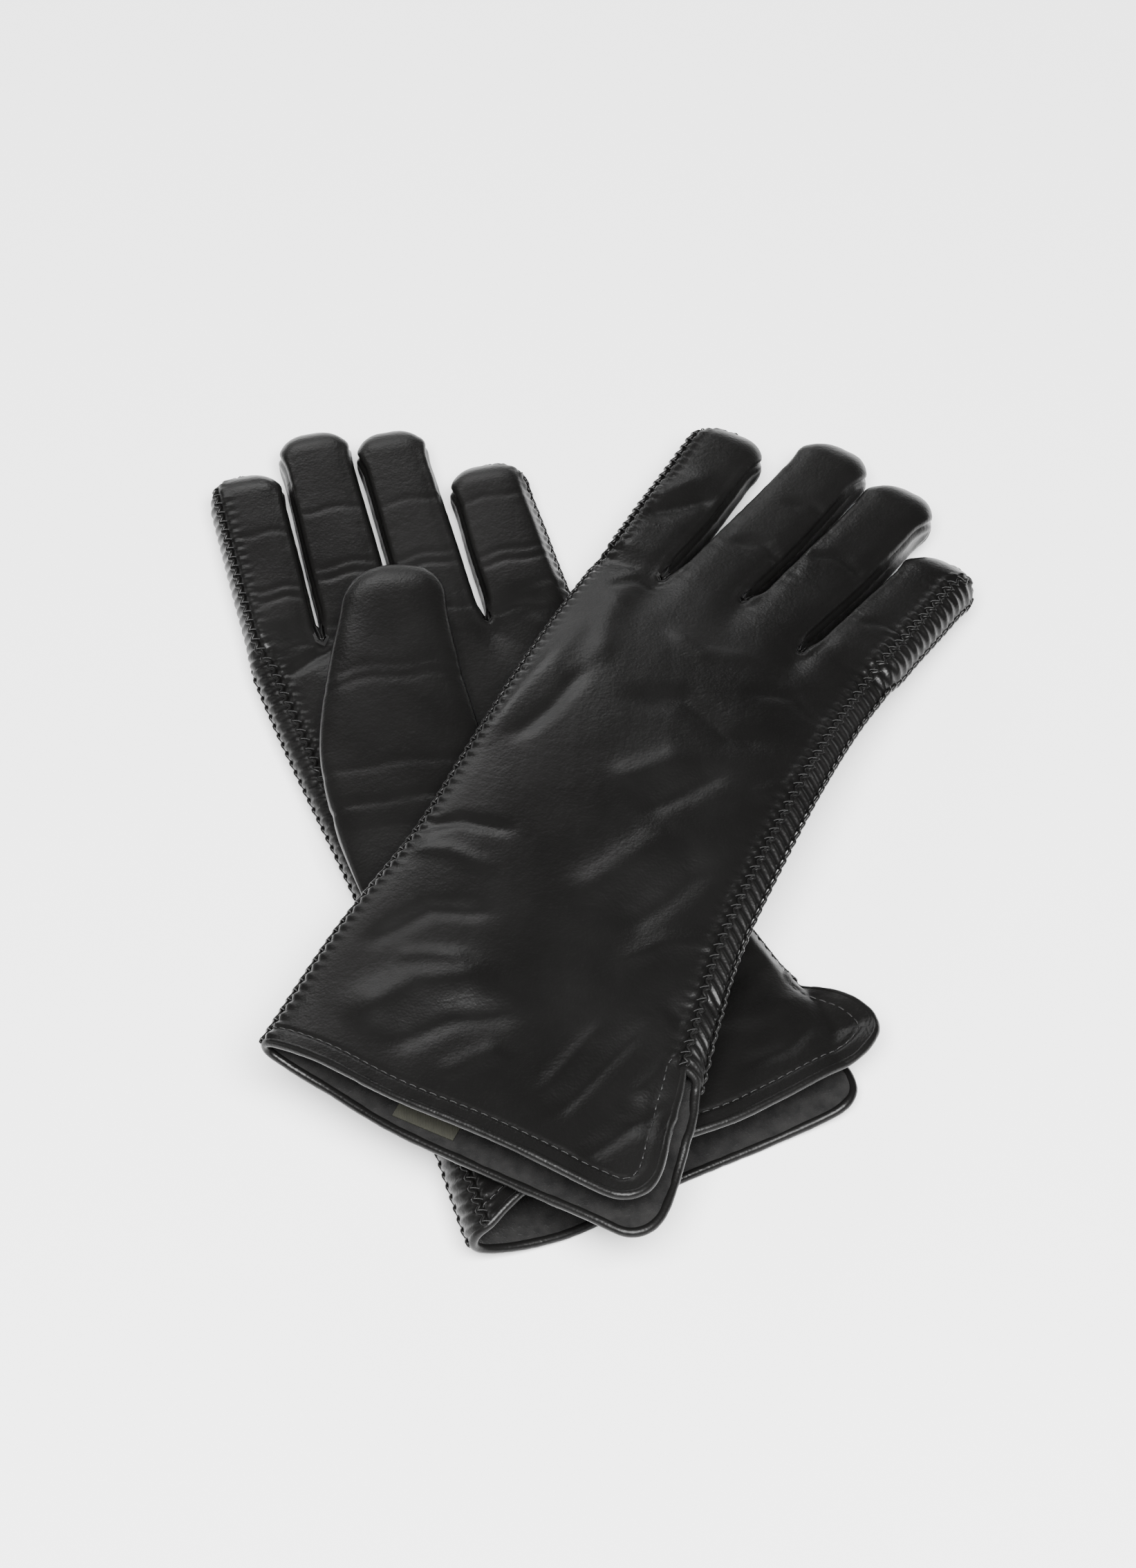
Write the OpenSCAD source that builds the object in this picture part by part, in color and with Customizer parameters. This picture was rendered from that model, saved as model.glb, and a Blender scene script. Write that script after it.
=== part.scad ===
// A pair of lined leather gloves, laid one across the other on a table.
// The left glove lies flat with its palm up. The right glove lies over it with its back up.
//
// Each glove is worked out in a frame of its own:
//   X across the hand (thumb side negative), Y from the hem to the fingertips,
//   Z through the thickness (back of the hand positive).
// Leather and lining are thin skins that follow one cross-section, so that they nest.

/* [Hand] */
// Width across the knuckles
knuckle_w = 102; // [85:1:120]
// Width at the wrist
wrist_w = 104; // [85:1:120]
// Width of the cuff at its hem
hem_w = 122; // [95:1:140]
// Thickness of the filled-out palm and fingers
body_t = 15; // [12:0.5:22]
// Height of the left glove's mouth
left_mouth_t = 26; // [18:1:36]
// Height of the right glove's mouth
right_mouth_t = 20; // [16:1:30]
// How far the right glove's mouth is pushed over to its slit
right_mouth_shift = 5; // [0:0.5:8]
// Distance from the hem to the narrowest part of the wrist
wrist_y = 90; // [70:1:110]
// Length of the slit at the little-finger side of the cuff
slit_l = 45; // [25:1:60]
// How far the hand's middle line stands off towards the thumb at the knuckles
hand_offset = 4; // [0:0.5:8]

/* [Fingers] */
// Hem to the crotch between the index and the middle finger
crotch_1 = 217; // [200:1:230]
// Hem to the crotch between the middle and the ring finger
crotch_2 = 220; // [200:1:232]
// Hem to the crotch between the ring and the little finger
crotch_3 = 207; // [190:1:220]
// Index finger length beyond its crotch
index_l = 79; // [65:1:90]
// Middle finger length beyond its crotch
middle_l = 87; // [70:1:98]
// Ring finger length beyond its crotch
ring_l = 84; // [70:1:95]
// Little finger length beyond its crotch
little_l = 67; // [55:1:78]
// Finger width near the tip
tip_w = 23; // [18:0.5:25]
// Length of the rounded fingertip
tip_round = 12; // [8:0.5:16]
// Distance from the crotch to the finger's middle joint, where it bends
joint_y = 23; // [18:1:30]

/* [Thumb] */
// Hem to the start of the thumb's seam on the palm
thumb_y = 102; // [90:1:120]
// Length of the thumb from there to its tip
thumb_l = 130; // [110:1:145]
// Length of the thumb beyond the joint where it bends
thumb_tip_l = 46; // [35:1:60]
// Thumb width where it is sewn in
thumb_base_w = 45; // [36:1:50]
// Thumb width beyond its joint
thumb_w = 31; // [26:1:36]
// Thickness of the left thumb, which is folded onto its palm
left_thumb_t = 11; // [8:0.5:14]
// Thickness of the right thumb, which is pressed under its palm
right_thumb_t = 7.6; // [6:0.2:9]

/* [Material] */
// Leather thickness
leather_t = 0.9; // [0.6:0.1:1.4]
// Lining thickness
lining_t = 1.0; // [0.6:0.1:1.6]
// Radius of the rolled hem
hem_r = 1.5; // [1.4:0.1:2]
// Radius of the sewing thread
thread_r = 0.2; // [0.15:0.05:0.3]
// Distance of the hem's stitching from the edge
stitch_y = 6; // [4:0.5:10]
// Length of the maker's label inside the right cuff
label_l = 19; // [12:1:30]
// Width of that label
label_w = 9; // [6:0.5:14]

/* [Layout] */
// Left glove: turn of its fingers away from straight back
left_turn = -20; // [-30:1:0]
// Left glove: hem centre, across
left_x = 22.1; // [10:0.1:50]
// Left glove: hem centre, along
left_y = -125.3; // [-160:0.1:-110]
// Right glove: turn of its fingers away from straight back
right_turn = 26; // [0:1:40]
// Right glove: hem centre, across
right_x = -43.1; // [-60:0.1:-10]
// Right glove: hem centre, along
right_y = -128.8; // [-160:0.1:-110]
// Height of the right glove's underside over the left glove
right_lift = 29.5; // [26:0.5:40]
// Height of the right fingertips' underside
right_tip_lift = 2.5; // [0.5:0.5:10]

/* [Fit] */
// Gap between pieces of different bodies
body_gap = 0.5; // [0.3:0.05:1]
// Gap between nested layers
layer_gap = 0.12; // [0.05:0.01:0.3]

/* [Hidden] */
LEFT = 0;
RIGHT = 1;
INDEX = 0;
MIDDLE = 1;
RING = 2;
LITTLE = 3;
TOP = 1;
UNDER = -1;

leather_out = 0;
leather_in = leather_t;
strip_in = leather_t - 0.25; // strips are pared thinner, so that they clear the lining
lining_out = leather_t + layer_gap;
lining_in = lining_out + lining_t;

square_power = 2.6;      // how square a cross-section is: 2 is an ellipse
hand_reach = 0.97;       // share of the half width that the back and palm panels cover
finger_reach = 0.93;     // the same on a finger
side_fit = 0.86;         // share of the remaining arc that a side strip covers
side_steps = 4;
arc_steps = 6;           // segments of a panel across one finger
neck_y = 6;              // a finger has its full section this far beyond its crotch
finger_gap = 0.95;       // how far a finger's side stands in from its share of the hand
knuckle_y = 196;         // last cross-section of the hand before the crotches

// Fingers' shares of the knuckle width
share = [0, 0.225, 0.48, 0.725, 1];
crotches = [crotch_1 - 2, crotch_1, crotch_2, crotch_3, crotch_3 - 2];
finger_l = [index_l, middle_l, ring_l, little_l];
// How far each fingertip stands over to the little-finger side, for each glove
tip_shifts = [[9, 10.5, 8.5, 6.5], [2, 12, 13, 10]];
thumb_lean = [29, 30];
thumb_x = [-32, -14];
thumb_t = [left_thumb_t, right_thumb_t];
mouth_t = [left_mouth_t, right_mouth_t];
mouth_shift = [0, right_mouth_shift];
hem_proud = hem_r - lining_in / 2;  // the left glove rests on its rolled hem
hand_rows = [0, 22, 46, wrist_y, 125, 162, knuckle_y];

// ---- the cross-section along the hand ----
function half_w(y) = lookup(y, [
    [0, hem_w / 2], [46, hem_w / 2 - 3], [wrist_y, wrist_w / 2],
    [125, wrist_w / 2 - 1], [knuckle_y, knuckle_w / 2]]);
function middle_x(y, g) = lookup(y, [
    [0, mouth_shift[g]], [wrist_y, 0], [knuckle_y, -hand_offset]]);
function half_t(y, g) = lookup(y, [
    [0, mouth_t[g] / 2], [30, mouth_t[g] / 2 - 1.5], [wrist_y, body_t / 2]]);

// Underside of the right glove: high over the left glove, then down to the table
function underside(y) = lookup(y, [
    [0, right_lift - 0.5], [wrist_y, right_lift], [160, right_lift - 4.2],
    [202, right_lift - 12], [255, right_tip_lift + 5], [310, right_tip_lift]]);
function middle_z(y, g) = g == LEFT ? -half_t(y, g) : underside(y) + half_t(y, g);

function bulge(x) = pow(1 - pow(abs(x), square_power), 1 / square_power);
function place(x, y, z, g) = [x, y, z + middle_z(y, g)];

function hand_point(g, y, x, face, inset) = place(
    middle_x(y, g) + (half_w(y) - inset) * x, y, face * (half_t(y, g) - inset) * bulge(x), g);
function side_point(g, y, angle, dir, inset) = place(
    middle_x(y, g) + dir * (half_w(y) - inset) * pow(cos(angle), 2 / square_power), y,
    sign(angle) * (half_t(y, g) - inset) * pow(abs(sin(angle)), 2 / square_power), g);

// ---- the fingers ----
function slot_x(i) = -hand_offset + knuckle_w * (share[i] - 0.5);
function finger_x(i) = (slot_x(i) + slot_x(i + 1)) / 2;
function finger_y(i) = (crotches[i] + crotches[i + 1]) / 2;
function tip_shift(i, g) = tip_shifts[g][i];
function finger_turn(i, g) = atan2(tip_shift(i, g), finger_l[i]);
function base_w(i) = slot_x(i + 1) - slot_x(i) - 2 * finger_gap;

// From 1 down to a small share along the last stretch of a finger
function tip_factor(s, length, round) =
    s < length - round ? 1 : max(0.16, sqrt(max(0, 1 - pow((s - length + round) / round, 2))));
function finger_half_w(i, s) =
    (base_w(i) + (tip_w - base_w(i)) * min(1, s / (finger_l[i] - tip_round))) / 2
    * tip_factor(s, finger_l[i], tip_round);
function finger_half_t(i, s) = body_t / 2 * tip_factor(s, finger_l[i], tip_round);

// A point at distance s along a finger, across and through its section
function on_finger(i, g, s, across, through) =
    let (t = finger_turn(i, g))
    place(finger_x(i) + s * sin(t) + across * cos(t),
          finger_y(i) + s * cos(t) - across * sin(t), through, g);
function finger_point(i, g, s, x, face, inset) = on_finger(i, g, s,
    max(0.3, finger_half_w(i, s) - inset) * x,
    face * max(0.3, finger_half_t(i, s) - inset) * bulge(x));
function finger_side(i, g, s, angle, dir, inset) = on_finger(i, g, s,
    dir * max(0.3, finger_half_w(i, s) - inset) * pow(cos(angle), 2 / square_power),
    sign(angle) * max(0.3, finger_half_t(i, s) - inset) * pow(abs(sin(angle)), 2 / square_power));

// Positions across a panel, from its thumb side to its little-finger side
function across(k, reach) = reach * sin(90 * (2 * k / arc_steps - 1)) ;
function edge_angle(reach) = acos(pow(reach, square_power / 2)) * side_fit;
function side_angles(reach) = [for (k = [0:side_steps])
    edge_angle(reach) * (2 * k / side_steps - 1)];

near_rows = [neck_y, 14, joint_y - body_gap / 2];
function far_rows(i) = let (start = joint_y + body_gap / 2, end = finger_l[i] - tip_round) [
    start, start + (end - start) / 2, end, end + tip_round * 0.45,
    end + tip_round * 0.75, end + tip_round * 0.93, finger_l[i]];

// ---- solids from grids of points ----
function quad(a, b, c, d) = [[a, b, c], [a, c, d]];
function flat(rows) = [for (row = rows) each row];

function turned(faces, turn) = turn ? [for (f = faces) [f[2], f[1], f[0]]] : faces;

// A sheet between an outer and an inner grid with the same rows and columns. turn is true
// where the outer side is on the left as its columns and rows are taken.
module sheet(outer, inner, turn) {
    rows = len(outer);
    cols = len(outer[0]);
    n = rows * cols;
    faces = [
        for (r = [0:rows - 2], c = [0:cols - 2]) let (a = r * cols + c) each concat(
            quad(a, a + 1, a + cols + 1, a + cols),
            quad(n + a, n + a + cols, n + a + cols + 1, n + a + 1)),
        for (c = [0:cols - 2], r = [0, rows - 1]) let (a = r * cols + c)
            each r == 0 ? quad(a, n + a, n + a + 1, a + 1) : quad(a, a + 1, n + a + 1, n + a),
        for (r = [0:rows - 2], c = [0, cols - 1]) let (a = r * cols + c)
            each c == 0 ? quad(a, a + cols, n + a + cols, n + a)
                        : quad(a, n + a, n + a + cols, a + cols)];
    polyhedron(concat(flat(outer), flat(inner)), turned(faces, turn));
}

// The same with its columns closed into a ring: a tube that is open at both ends
module tube(outer, inner) {
    rows = len(outer);
    cols = len(outer[0]);
    n = rows * cols;
    last = (rows - 1) * cols;
    polyhedron(concat(flat(outer), flat(inner)), [
        for (r = [0:rows - 2], c = [0:cols - 1]) let (a = r * cols + c, b = r * cols + (c + 1) % cols)
            each concat(quad(a, b, b + cols, a + cols), quad(n + a, n + a + cols, n + b + cols, n + b)),
        for (c = [0:cols - 1]) let (d = (c + 1) % cols) each concat(
            quad(c, n + c, n + d, d),
            quad(last + c, last + d, n + last + d, n + last + c))]);
}

// A cord from rings of points, with closed ends
module cord(rings) {
    rows = len(rings);
    cols = len(rings[0]);
    last = (rows - 1) * cols;
    polyhedron(flat(rings), [
        for (r = [0:rows - 2], c = [0:cols - 1]) let (a = r * cols + c, b = r * cols + (c + 1) % cols)
            each quad(a, b, b + cols, a + cols),
        for (c = [1:cols - 2]) each [[0, c + 1, c], [last, last + c, last + c + 1]]]);
}

// ---- leather and lining of the hand ----
// Places of a panel's points across the hand, as shares of the half width
function panel_xs(reach) = [for (i = [INDEX:LITTLE], k = [0:arc_steps]) if (k < arc_steps || i == LITTLE)
    reach * (2 * (share[i] + (share[i + 1] - share[i]) * k / arc_steps) - 1)];

// One side of the hand with the near part of its four fingers, as one skin
module hand_skin(g, face, reach, f_reach, out, in) {
    n_f = arc_steps;
    cols = 4 * n_f + 1;
    rows = len(hand_rows) + 1;
    near = len(near_rows);
    n = rows * cols;
    m = near * (n_f + 1);
    xs = panel_xs(reach);
    ys = [for (i = [0:3], k = [0:n_f]) if (k < n_f || i == 3)
        crotches[i] + (crotches[i + 1] - crotches[i]) * k / n_f];
    function grid(inset) = [
        for (y = hand_rows) [for (x = xs) hand_point(g, y, x, face, inset)],
        [for (c = [0:cols - 1]) hand_point(g, ys[c], xs[c], face, inset)]];
    function stub(i, inset) = [for (s = near_rows) [for (k = [0:n_f])
        finger_point(i, g, s, across(k, f_reach), face, inset)]];
    pts = concat(flat(grid(out)), flat(grid(in)),
        [for (i = [0:3]) each concat(flat(stub(i, out)), flat(stub(i, in)))]);
    // Index of a point of finger i: row 0 is the hand's last row
    function at(i, r, k, layer) = r == 0 ? layer * n + (rows - 1) * cols + i * n_f + k
        : 2 * n + i * 2 * m + layer * m + (r - 1) * (n_f + 1) + k;
    faces = [
        for (r = [0:rows - 2], c = [0:cols - 2]) let (a = r * cols + c) each concat(
            quad(a, a + 1, a + cols + 1, a + cols),
            quad(n + a, n + a + cols, n + a + cols + 1, n + a + 1)),
        for (c = [0:cols - 2]) each quad(c, n + c, n + c + 1, c + 1),
        for (r = [0:rows - 2]) let (a = r * cols, b = a + cols - 1) each concat(
            quad(a, a + cols, n + a + cols, n + a), quad(b, n + b, n + b + cols, b + cols)),
        for (i = [0:3], r = [0:near - 1]) each concat(
            [for (k = [0:n_f - 1]) each concat(
                quad(at(i, r, k, 0), at(i, r, k + 1, 0), at(i, r + 1, k + 1, 0), at(i, r + 1, k, 0)),
                quad(at(i, r, k, 1), at(i, r + 1, k, 1), at(i, r + 1, k + 1, 1), at(i, r, k + 1, 1)))],
            quad(at(i, r, 0, 0), at(i, r + 1, 0, 0), at(i, r + 1, 0, 1), at(i, r, 0, 1)),
            quad(at(i, r, n_f, 0), at(i, r, n_f, 1), at(i, r + 1, n_f, 1), at(i, r + 1, n_f, 0))),
        for (i = [0:3], k = [0:n_f - 1]) each quad(
            at(i, near, k, 0), at(i, near, k + 1, 0), at(i, near, k + 1, 1), at(i, near, k, 1))];
    polyhedron(pts, turned(faces, face == TOP));
}

// Strip down one edge of the glove, from its outer finger's joint towards the hem
module edge_strip(g, dir, start) {
    i = dir < 0 ? INDEX : LITTLE;
    hand_angles = side_angles(hand_reach);
    finger_angles = side_angles(finger_reach);
    function grid(inset) = [
        for (y = concat(hand_rows, [dir < 0 ? crotches[0] : crotches[4]])) if (y >= start)
            [for (a = hand_angles) side_point(g, y, a, dir, inset)],
        for (s = near_rows)
            [for (a = finger_angles) finger_side(i, g, s, a, dir, inset)]];
    sheet(grid(leather_out), grid(strip_in), dir < 0);
}

// V-shaped strip between finger i and the next, round their crotch
module fourchette(g, i) {
    angles = side_angles(finger_reach);
    function turn_row(inset) = [for (a = angles) place(
        slot_x(i + 1), crotches[i + 1] + 1.4 - inset,
        sign(a) * (body_t / 2) * pow(abs(sin(a * 1.1)), 2 / square_power), g)];
    function grid(inset) = [
        for (k = [len(near_rows) - 1:-1:0])
            [for (a = angles) finger_side(i, g, near_rows[k], a, 1, inset)],
        turn_row(inset),
        for (s = near_rows)
            [for (a = angles) finger_side(i + 1, g, s, a, -1, inset)]];
    sheet(grid(leather_out), grid(strip_in), true);
}

// ---- the far part of a finger ----
module finger_skin(i, g, face, reach, out, in) {
    function grid(inset) = [for (s = far_rows(i)) [for (k = [0:arc_steps])
        finger_point(i, g, s, across(k, reach), face, inset)]];
    sheet(grid(out), grid(in), face == TOP);
}
module finger_edge(i, g, dir, out, in) {
    angles = side_angles(finger_reach);
    function grid(inset) = [for (s = far_rows(i))
        [for (a = angles) finger_side(i, g, s, a, dir, inset)]];
    sheet(grid(out), grid(in), dir < 0);
}

// ---- the thumb, outside the palm ----
thumb_steps = 16;
function thumb_half_w(s) = (thumb_base_w + (thumb_w - thumb_base_w)
    * min(1, max(0, s - 40) / 55)) / 2 * tip_factor(s, thumb_l, 15);
function thumb_half_t(s, g) = thumb_t[g] / 2 * tip_factor(s, thumb_l, 15) * min(1, 0.3 + s / 40);
function thumb_center(s, g) = [thumb_x[g] + thumb_lean[g] * pow(s / thumb_l, 1.8), thumb_y + s];
function thumb_point(s, g, angle, inset) =
    let (a = max(0.4, thumb_half_w(s) - inset) * sign(cos(angle)) * pow(abs(cos(angle)), 0.8),
         b = max(0.4, thumb_half_t(s, g) - inset) * sign(sin(angle)) * pow(abs(sin(angle)), 0.8),
         c = thumb_center(s, g))
    place(c[0] + a * cos(thumb_skew), c[1] - a * sin(thumb_skew),
          b - body_t / 2 - body_gap - thumb_t[g] / 2, g);
thumb_skew = 15;
thumb_joint = thumb_l - thumb_tip_l;

module thumb_tube(g, rows, out, in) {
    function grid(inset) = [for (s = rows) [for (k = [0:thumb_steps - 1])
        thumb_point(s, g, 360 * (k + 0.5) / thumb_steps, inset)]];
    tube(grid(out), grid(in));
}
thumb_near = [0, 14, 30, 50, 68, thumb_joint - body_gap / 2];
thumb_far = [thumb_joint + body_gap / 2, thumb_l - 15, thumb_l - 8, thumb_l - 3, thumb_l];
thumb_whole = [0, 14, 30, 50, 68, thumb_joint, thumb_l - 15, thumb_l - 8, thumb_l - 3, thumb_l];

// ---- hem, stitching and label ----
// A cord that follows the mouth from one lip of the slit round to the other
module mouth_cord(g, y, inset, r, sides) {
    xs = panel_xs(hand_reach);
    last = len(xs) - 1;
    angles = side_angles(hand_reach);
    turns = [for (k = [0:sides - 1]) 360 * (k + 0.5) / sides];
    cord(concat(
        [for (j = [last:-1:0])
            [for (t = turns) hand_point(g, y + r * cos(t), xs[j], TOP, inset + r * sin(t))]],
        [for (j = [side_steps - 1:-1:1])
            [for (t = turns) side_point(g, y + r * cos(t), angles[j], -1, inset + r * sin(t))]],
        [for (x = xs)
            [for (t = turns) hand_point(g, y + r * cos(t), x, UNDER, inset + r * sin(t))]]));
}

module maker_label() {
    y = 2;
    translate([-5 - label_l / 2, y, middle_z(y, RIGHT) - half_t(y, RIGHT) + lining_in + 0.45])
        cube([label_l, label_w, 0.5]);
}

// ---- where each glove lies ----
module lay(g) {
    if (g == LEFT)
        translate([left_x, left_y, hem_proud]) rotate([0, 0, -left_turn]) mirror([0, 0, 1]) children();
    else
        translate([right_x, right_y, hem_proud]) rotate([0, 0, -right_turn]) children();
}

// ---- the named pieces ----
black = [0.07, 0.07, 0.08];
edge_black = [0.1, 0.1, 0.11];
fleece = [0.16, 0.16, 0.17];
olive = [0.2, 0.22, 0.12];

module back_panel(g) color(black) lay(g) hand_skin(g, TOP, hand_reach, finger_reach, leather_out, leather_in);
module palm_panel(g) color(black) lay(g) hand_skin(g, UNDER, hand_reach, finger_reach, leather_out, leather_in);
module lining(g) color(fleece) lay(g) for (face = [TOP, UNDER])
    hand_skin(g, face, 0.999, 0.998, lining_out, lining_in);
module outer_strip(g) color(edge_black) lay(g) edge_strip(g, 1, slit_l);
module inner_strip(g) color(edge_black) lay(g) edge_strip(g, -1, 0);
module crotch_strip(g, i) color(black) lay(g) fourchette(g, i);
module hem(g) color(black) lay(g) mouth_cord(g, -hem_r - layer_gap, lining_in / 2, hem_r, 6);
module hem_thread(g) color(edge_black) lay(g)
    mouth_cord(g, stitch_y, -thread_r - 0.06, thread_r, 4);
module thumb(g) color(black) lay(g)
    thumb_tube(g, g == LEFT ? thumb_near : thumb_whole, leather_out, leather_in);
module thumb_lining(g) color(fleece) lay(g)
    thumb_tube(g, g == LEFT ? thumb_near : thumb_whole, lining_out, lining_in);
module thumb_tip(g) color(black) lay(g) thumb_tube(g, thumb_far, leather_out, leather_in);
module thumb_tip_lining(g) color(fleece) lay(g) thumb_tube(g, thumb_far, lining_out, lining_in);
module label(g) color(olive) lay(g) maker_label();

module finger_back(g, i) color(black) lay(g)
    finger_skin(i, g, TOP, finger_reach, leather_out, leather_in);
module finger_palm(g, i) color(black) lay(g)
    finger_skin(i, g, UNDER, finger_reach, leather_out, leather_in);
module finger_sides(g, i) color(edge_black) lay(g) for (dir = [-1, 1])
    finger_edge(i, g, dir, leather_out, strip_in);
module finger_lining(g, i) color(fleece) lay(g) for (face = [TOP, UNDER])
    finger_skin(i, g, face, 0.998, lining_out, lining_in);

gloves = ["left", "right"];
fingers = ["index", "middle", "ring", "little"];

for (g = [LEFT, RIGHT]) {
    name = gloves[g];
    back_panel(g);
    palm_panel(g);
    lining(g);
    outer_strip(g);
    inner_strip(g);
    crotch_strip(g, INDEX);
    crotch_strip(g, MIDDLE);
    crotch_strip(g, RING);
    hem(g);
    hem_thread(g);
    thumb(g);
    thumb_lining(g);
    for (i = [INDEX:LITTLE]) {
        finger_back(g, i);
        finger_palm(g, i);
        finger_sides(g, i);
        finger_lining(g, i);
    }
}
thumb_tip(LEFT);  // left_thumb_tip
thumb_tip_lining(LEFT);  // left_thumb_tip_lining
label(RIGHT);  // right_label
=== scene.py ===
"""A pair of lined black leather gloves, crossed on a pale floor: the left one palm up, the right one over it.

Each glove is worked out in millimetres in its own frame, as in the CAD model: X across (thumb side
negative), Y from hem to fingertips, Z through it (back of the hand positive). All its leather is one
welded surface first, so that folds and seams run on from piece to piece, and is then cut into its pieces.
"""
import math

import bpy
import numpy as np
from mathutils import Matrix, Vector, kdtree


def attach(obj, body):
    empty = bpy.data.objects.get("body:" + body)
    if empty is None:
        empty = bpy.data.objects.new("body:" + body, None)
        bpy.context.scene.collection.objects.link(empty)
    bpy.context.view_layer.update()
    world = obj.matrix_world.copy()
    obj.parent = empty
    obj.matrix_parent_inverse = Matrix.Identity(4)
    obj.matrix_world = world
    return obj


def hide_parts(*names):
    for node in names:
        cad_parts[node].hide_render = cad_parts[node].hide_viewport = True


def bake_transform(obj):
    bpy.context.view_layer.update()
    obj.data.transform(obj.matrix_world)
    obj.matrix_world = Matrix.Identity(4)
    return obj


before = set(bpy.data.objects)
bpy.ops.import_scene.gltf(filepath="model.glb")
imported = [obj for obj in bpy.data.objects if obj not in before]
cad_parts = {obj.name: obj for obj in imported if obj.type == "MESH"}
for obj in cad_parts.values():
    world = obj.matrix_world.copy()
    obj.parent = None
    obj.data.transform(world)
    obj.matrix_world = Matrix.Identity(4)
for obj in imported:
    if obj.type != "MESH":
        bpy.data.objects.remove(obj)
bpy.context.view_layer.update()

MM = 0.001
LEFT, RIGHT = 0, 1
GLOVES = ("left", "right")
FINGERS = ("index", "middle", "ring", "little")
BACK, PALM = 1, -1

# ------------------------ sizes, as in part.scad
KNUCKLE_W, WRIST_W, HEM_W = 102.0, 104.0, 122.0
BODY_T = 15.0
MOUTH_T = (26.0, 20.0)
MOUTH_SHIFT = (0.0, 5.0)
WRIST_Y, SLIT_L, HAND_OFFSET, KNUCKLE_Y = 90.0, 45.0, 4.0, 196.0
CROTCH = np.array([215.0, 217.0, 220.0, 207.0, 205.0])
FINGER_L = (79.0, 87.0, 84.0, 67.0)
TIP_W, TIP_ROUND, JOINT_Y = 23.0, 12.0, 23.0
TIP_SHIFT = ((9.0, 10.5, 8.5, 6.5), (2.0, 12.0, 13.0, 10.0))
SHARE = np.array([0, 0.225, 0.48, 0.725, 1])
PLUMP = ((0.8, 0.8, 0.4, 2.4), (3.0, 2.0, 1.8, 2.2))   # how much wider a stuffed finger is
SHOWN_GAP = 0.2         # the walls between the fingers bulge towards each other
THUMB_Y, THUMB_L, THUMB_TIP_L = 102.0, 130.0, 46.0
THUMB_SKEW, THUMB_ROUND = 15.0, 15.0
THUMB_T, THUMB_X, THUMB_LEAN = (11.0, 7.6), (-32.0, -14.0), (29.0, 30.0)
LEATHER_T, LINING_T, LAYER_GAP, HEM_R = 0.9, 1.0, 0.12, 1.5
BODY_GAP = 0.5
TURN = (-20.0, 26.0)
ORIGIN = ((22.1, -125.3), (-43.1, -128.8))
LINING_OUT = LEATHER_T + LAYER_GAP      # depth of the lining's outer side under the leather's
LINING_IN = LINING_OUT + LINING_T
HEM_PROUD = HEM_R - LINING_IN / 2
RIGHT_LIFT, RIGHT_TIP_LIFT = 29.5, 2.5
POWER = 2.6

# ------------------------ sizes that only show here
CUT_Y = 5.0            # a finger's pieces start this far beyond its crotch
BLEND = (12.0, 34.0)   # where a finger's bend would start and end; settle works out these points but bends nothing
STRIP_W = (5.5, 6.4)   # width of the decorative strips: thumb side, little-finger side
STITCH_STEP = 3.9      # one whip stitch
WRAP = 3.0             # how far the palm's leather comes up round the little finger's edge
HEM_BAND = 5.0         # distance of the hem's stitching from the edge
FOLD_DEPTH = 1.05      # scales the folds listed below
THREAD_R = 0.2         # sewing thread
CORD_R = 0.56          # raised cord along a decorative strip
RIB_H = 0.48           # height of a decorative strip's ribs
CORNER_FLARE = 9.0     # scales how the hand's outer edge flares into the little finger
FLOOR_GAP = 0.00005    # metres: how far off the table the lower glove starts
LABEL_AT, LABEL_SIZE, LABEL_T = (-5.0, 6.5), (19.0, 9.0), 0.4
FINGER_COLS, SIDE_COLS, THUMB_COLS = 26, 12, 44
ROW_STEP = 0.85


def curve(t, points):
    """Smooth curve through (t, value) points, flat beyond its ends."""
    xs, ys = np.array(points, float).T
    slope = np.gradient(ys, xs)
    t = np.clip(t, xs[0], xs[-1])
    i = np.clip(np.searchsorted(xs, t, side="right") - 1, 0, len(xs) - 2)
    h = xs[i + 1] - xs[i]
    u = (t - xs[i]) / h
    return ((2 * u**3 - 3 * u**2 + 1) * ys[i] + (u**3 - 2 * u**2 + u) * h * slope[i]
            + (3 * u**2 - 2 * u**3) * ys[i + 1] + (u**3 - u**2) * h * slope[i + 1])


def smoothstep(t):
    t = np.clip(t, 0, 1)
    return t * t * (3 - 2 * t)


def bulge(x, power=POWER):
    return np.maximum(1 - np.abs(x) ** power, 0) ** (1 / power)


def eased(n, power=1.25):
    """n + 1 places from -1 to 1, closer together at both ends."""
    u = np.linspace(-1, 1, n + 1)
    return np.sign(u) * (1 - (1 - np.abs(u)) ** power)


def unit(v, least=1e-9):
    return v / np.maximum(np.linalg.norm(v, axis=-1, keepdims=True), least)


def face_vectors(p, q):
    """Each quad's normal, as long as twice its area."""
    return np.cross(p[q[:, 2]] - p[q[:, 0]], p[q[:, 3]] - p[q[:, 1]])


def grid_quads(r, c):
    """The quads between the points of a grid of r rows and c columns, numbered row by row."""
    i = (np.arange(r - 1)[:, None] * c + np.arange(c - 1)[None]).reshape(-1)
    return np.stack([i, i + 1, i + c + 1, i + c], -1)


def distances(line):
    """How far along a line each of its points is."""
    return np.concatenate([[0], np.cumsum(np.linalg.norm(np.diff(line, axis=0), axis=1))])


NOISE_CELLS = np.random.default_rng(7).uniform(-1, 1, 65536)


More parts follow.
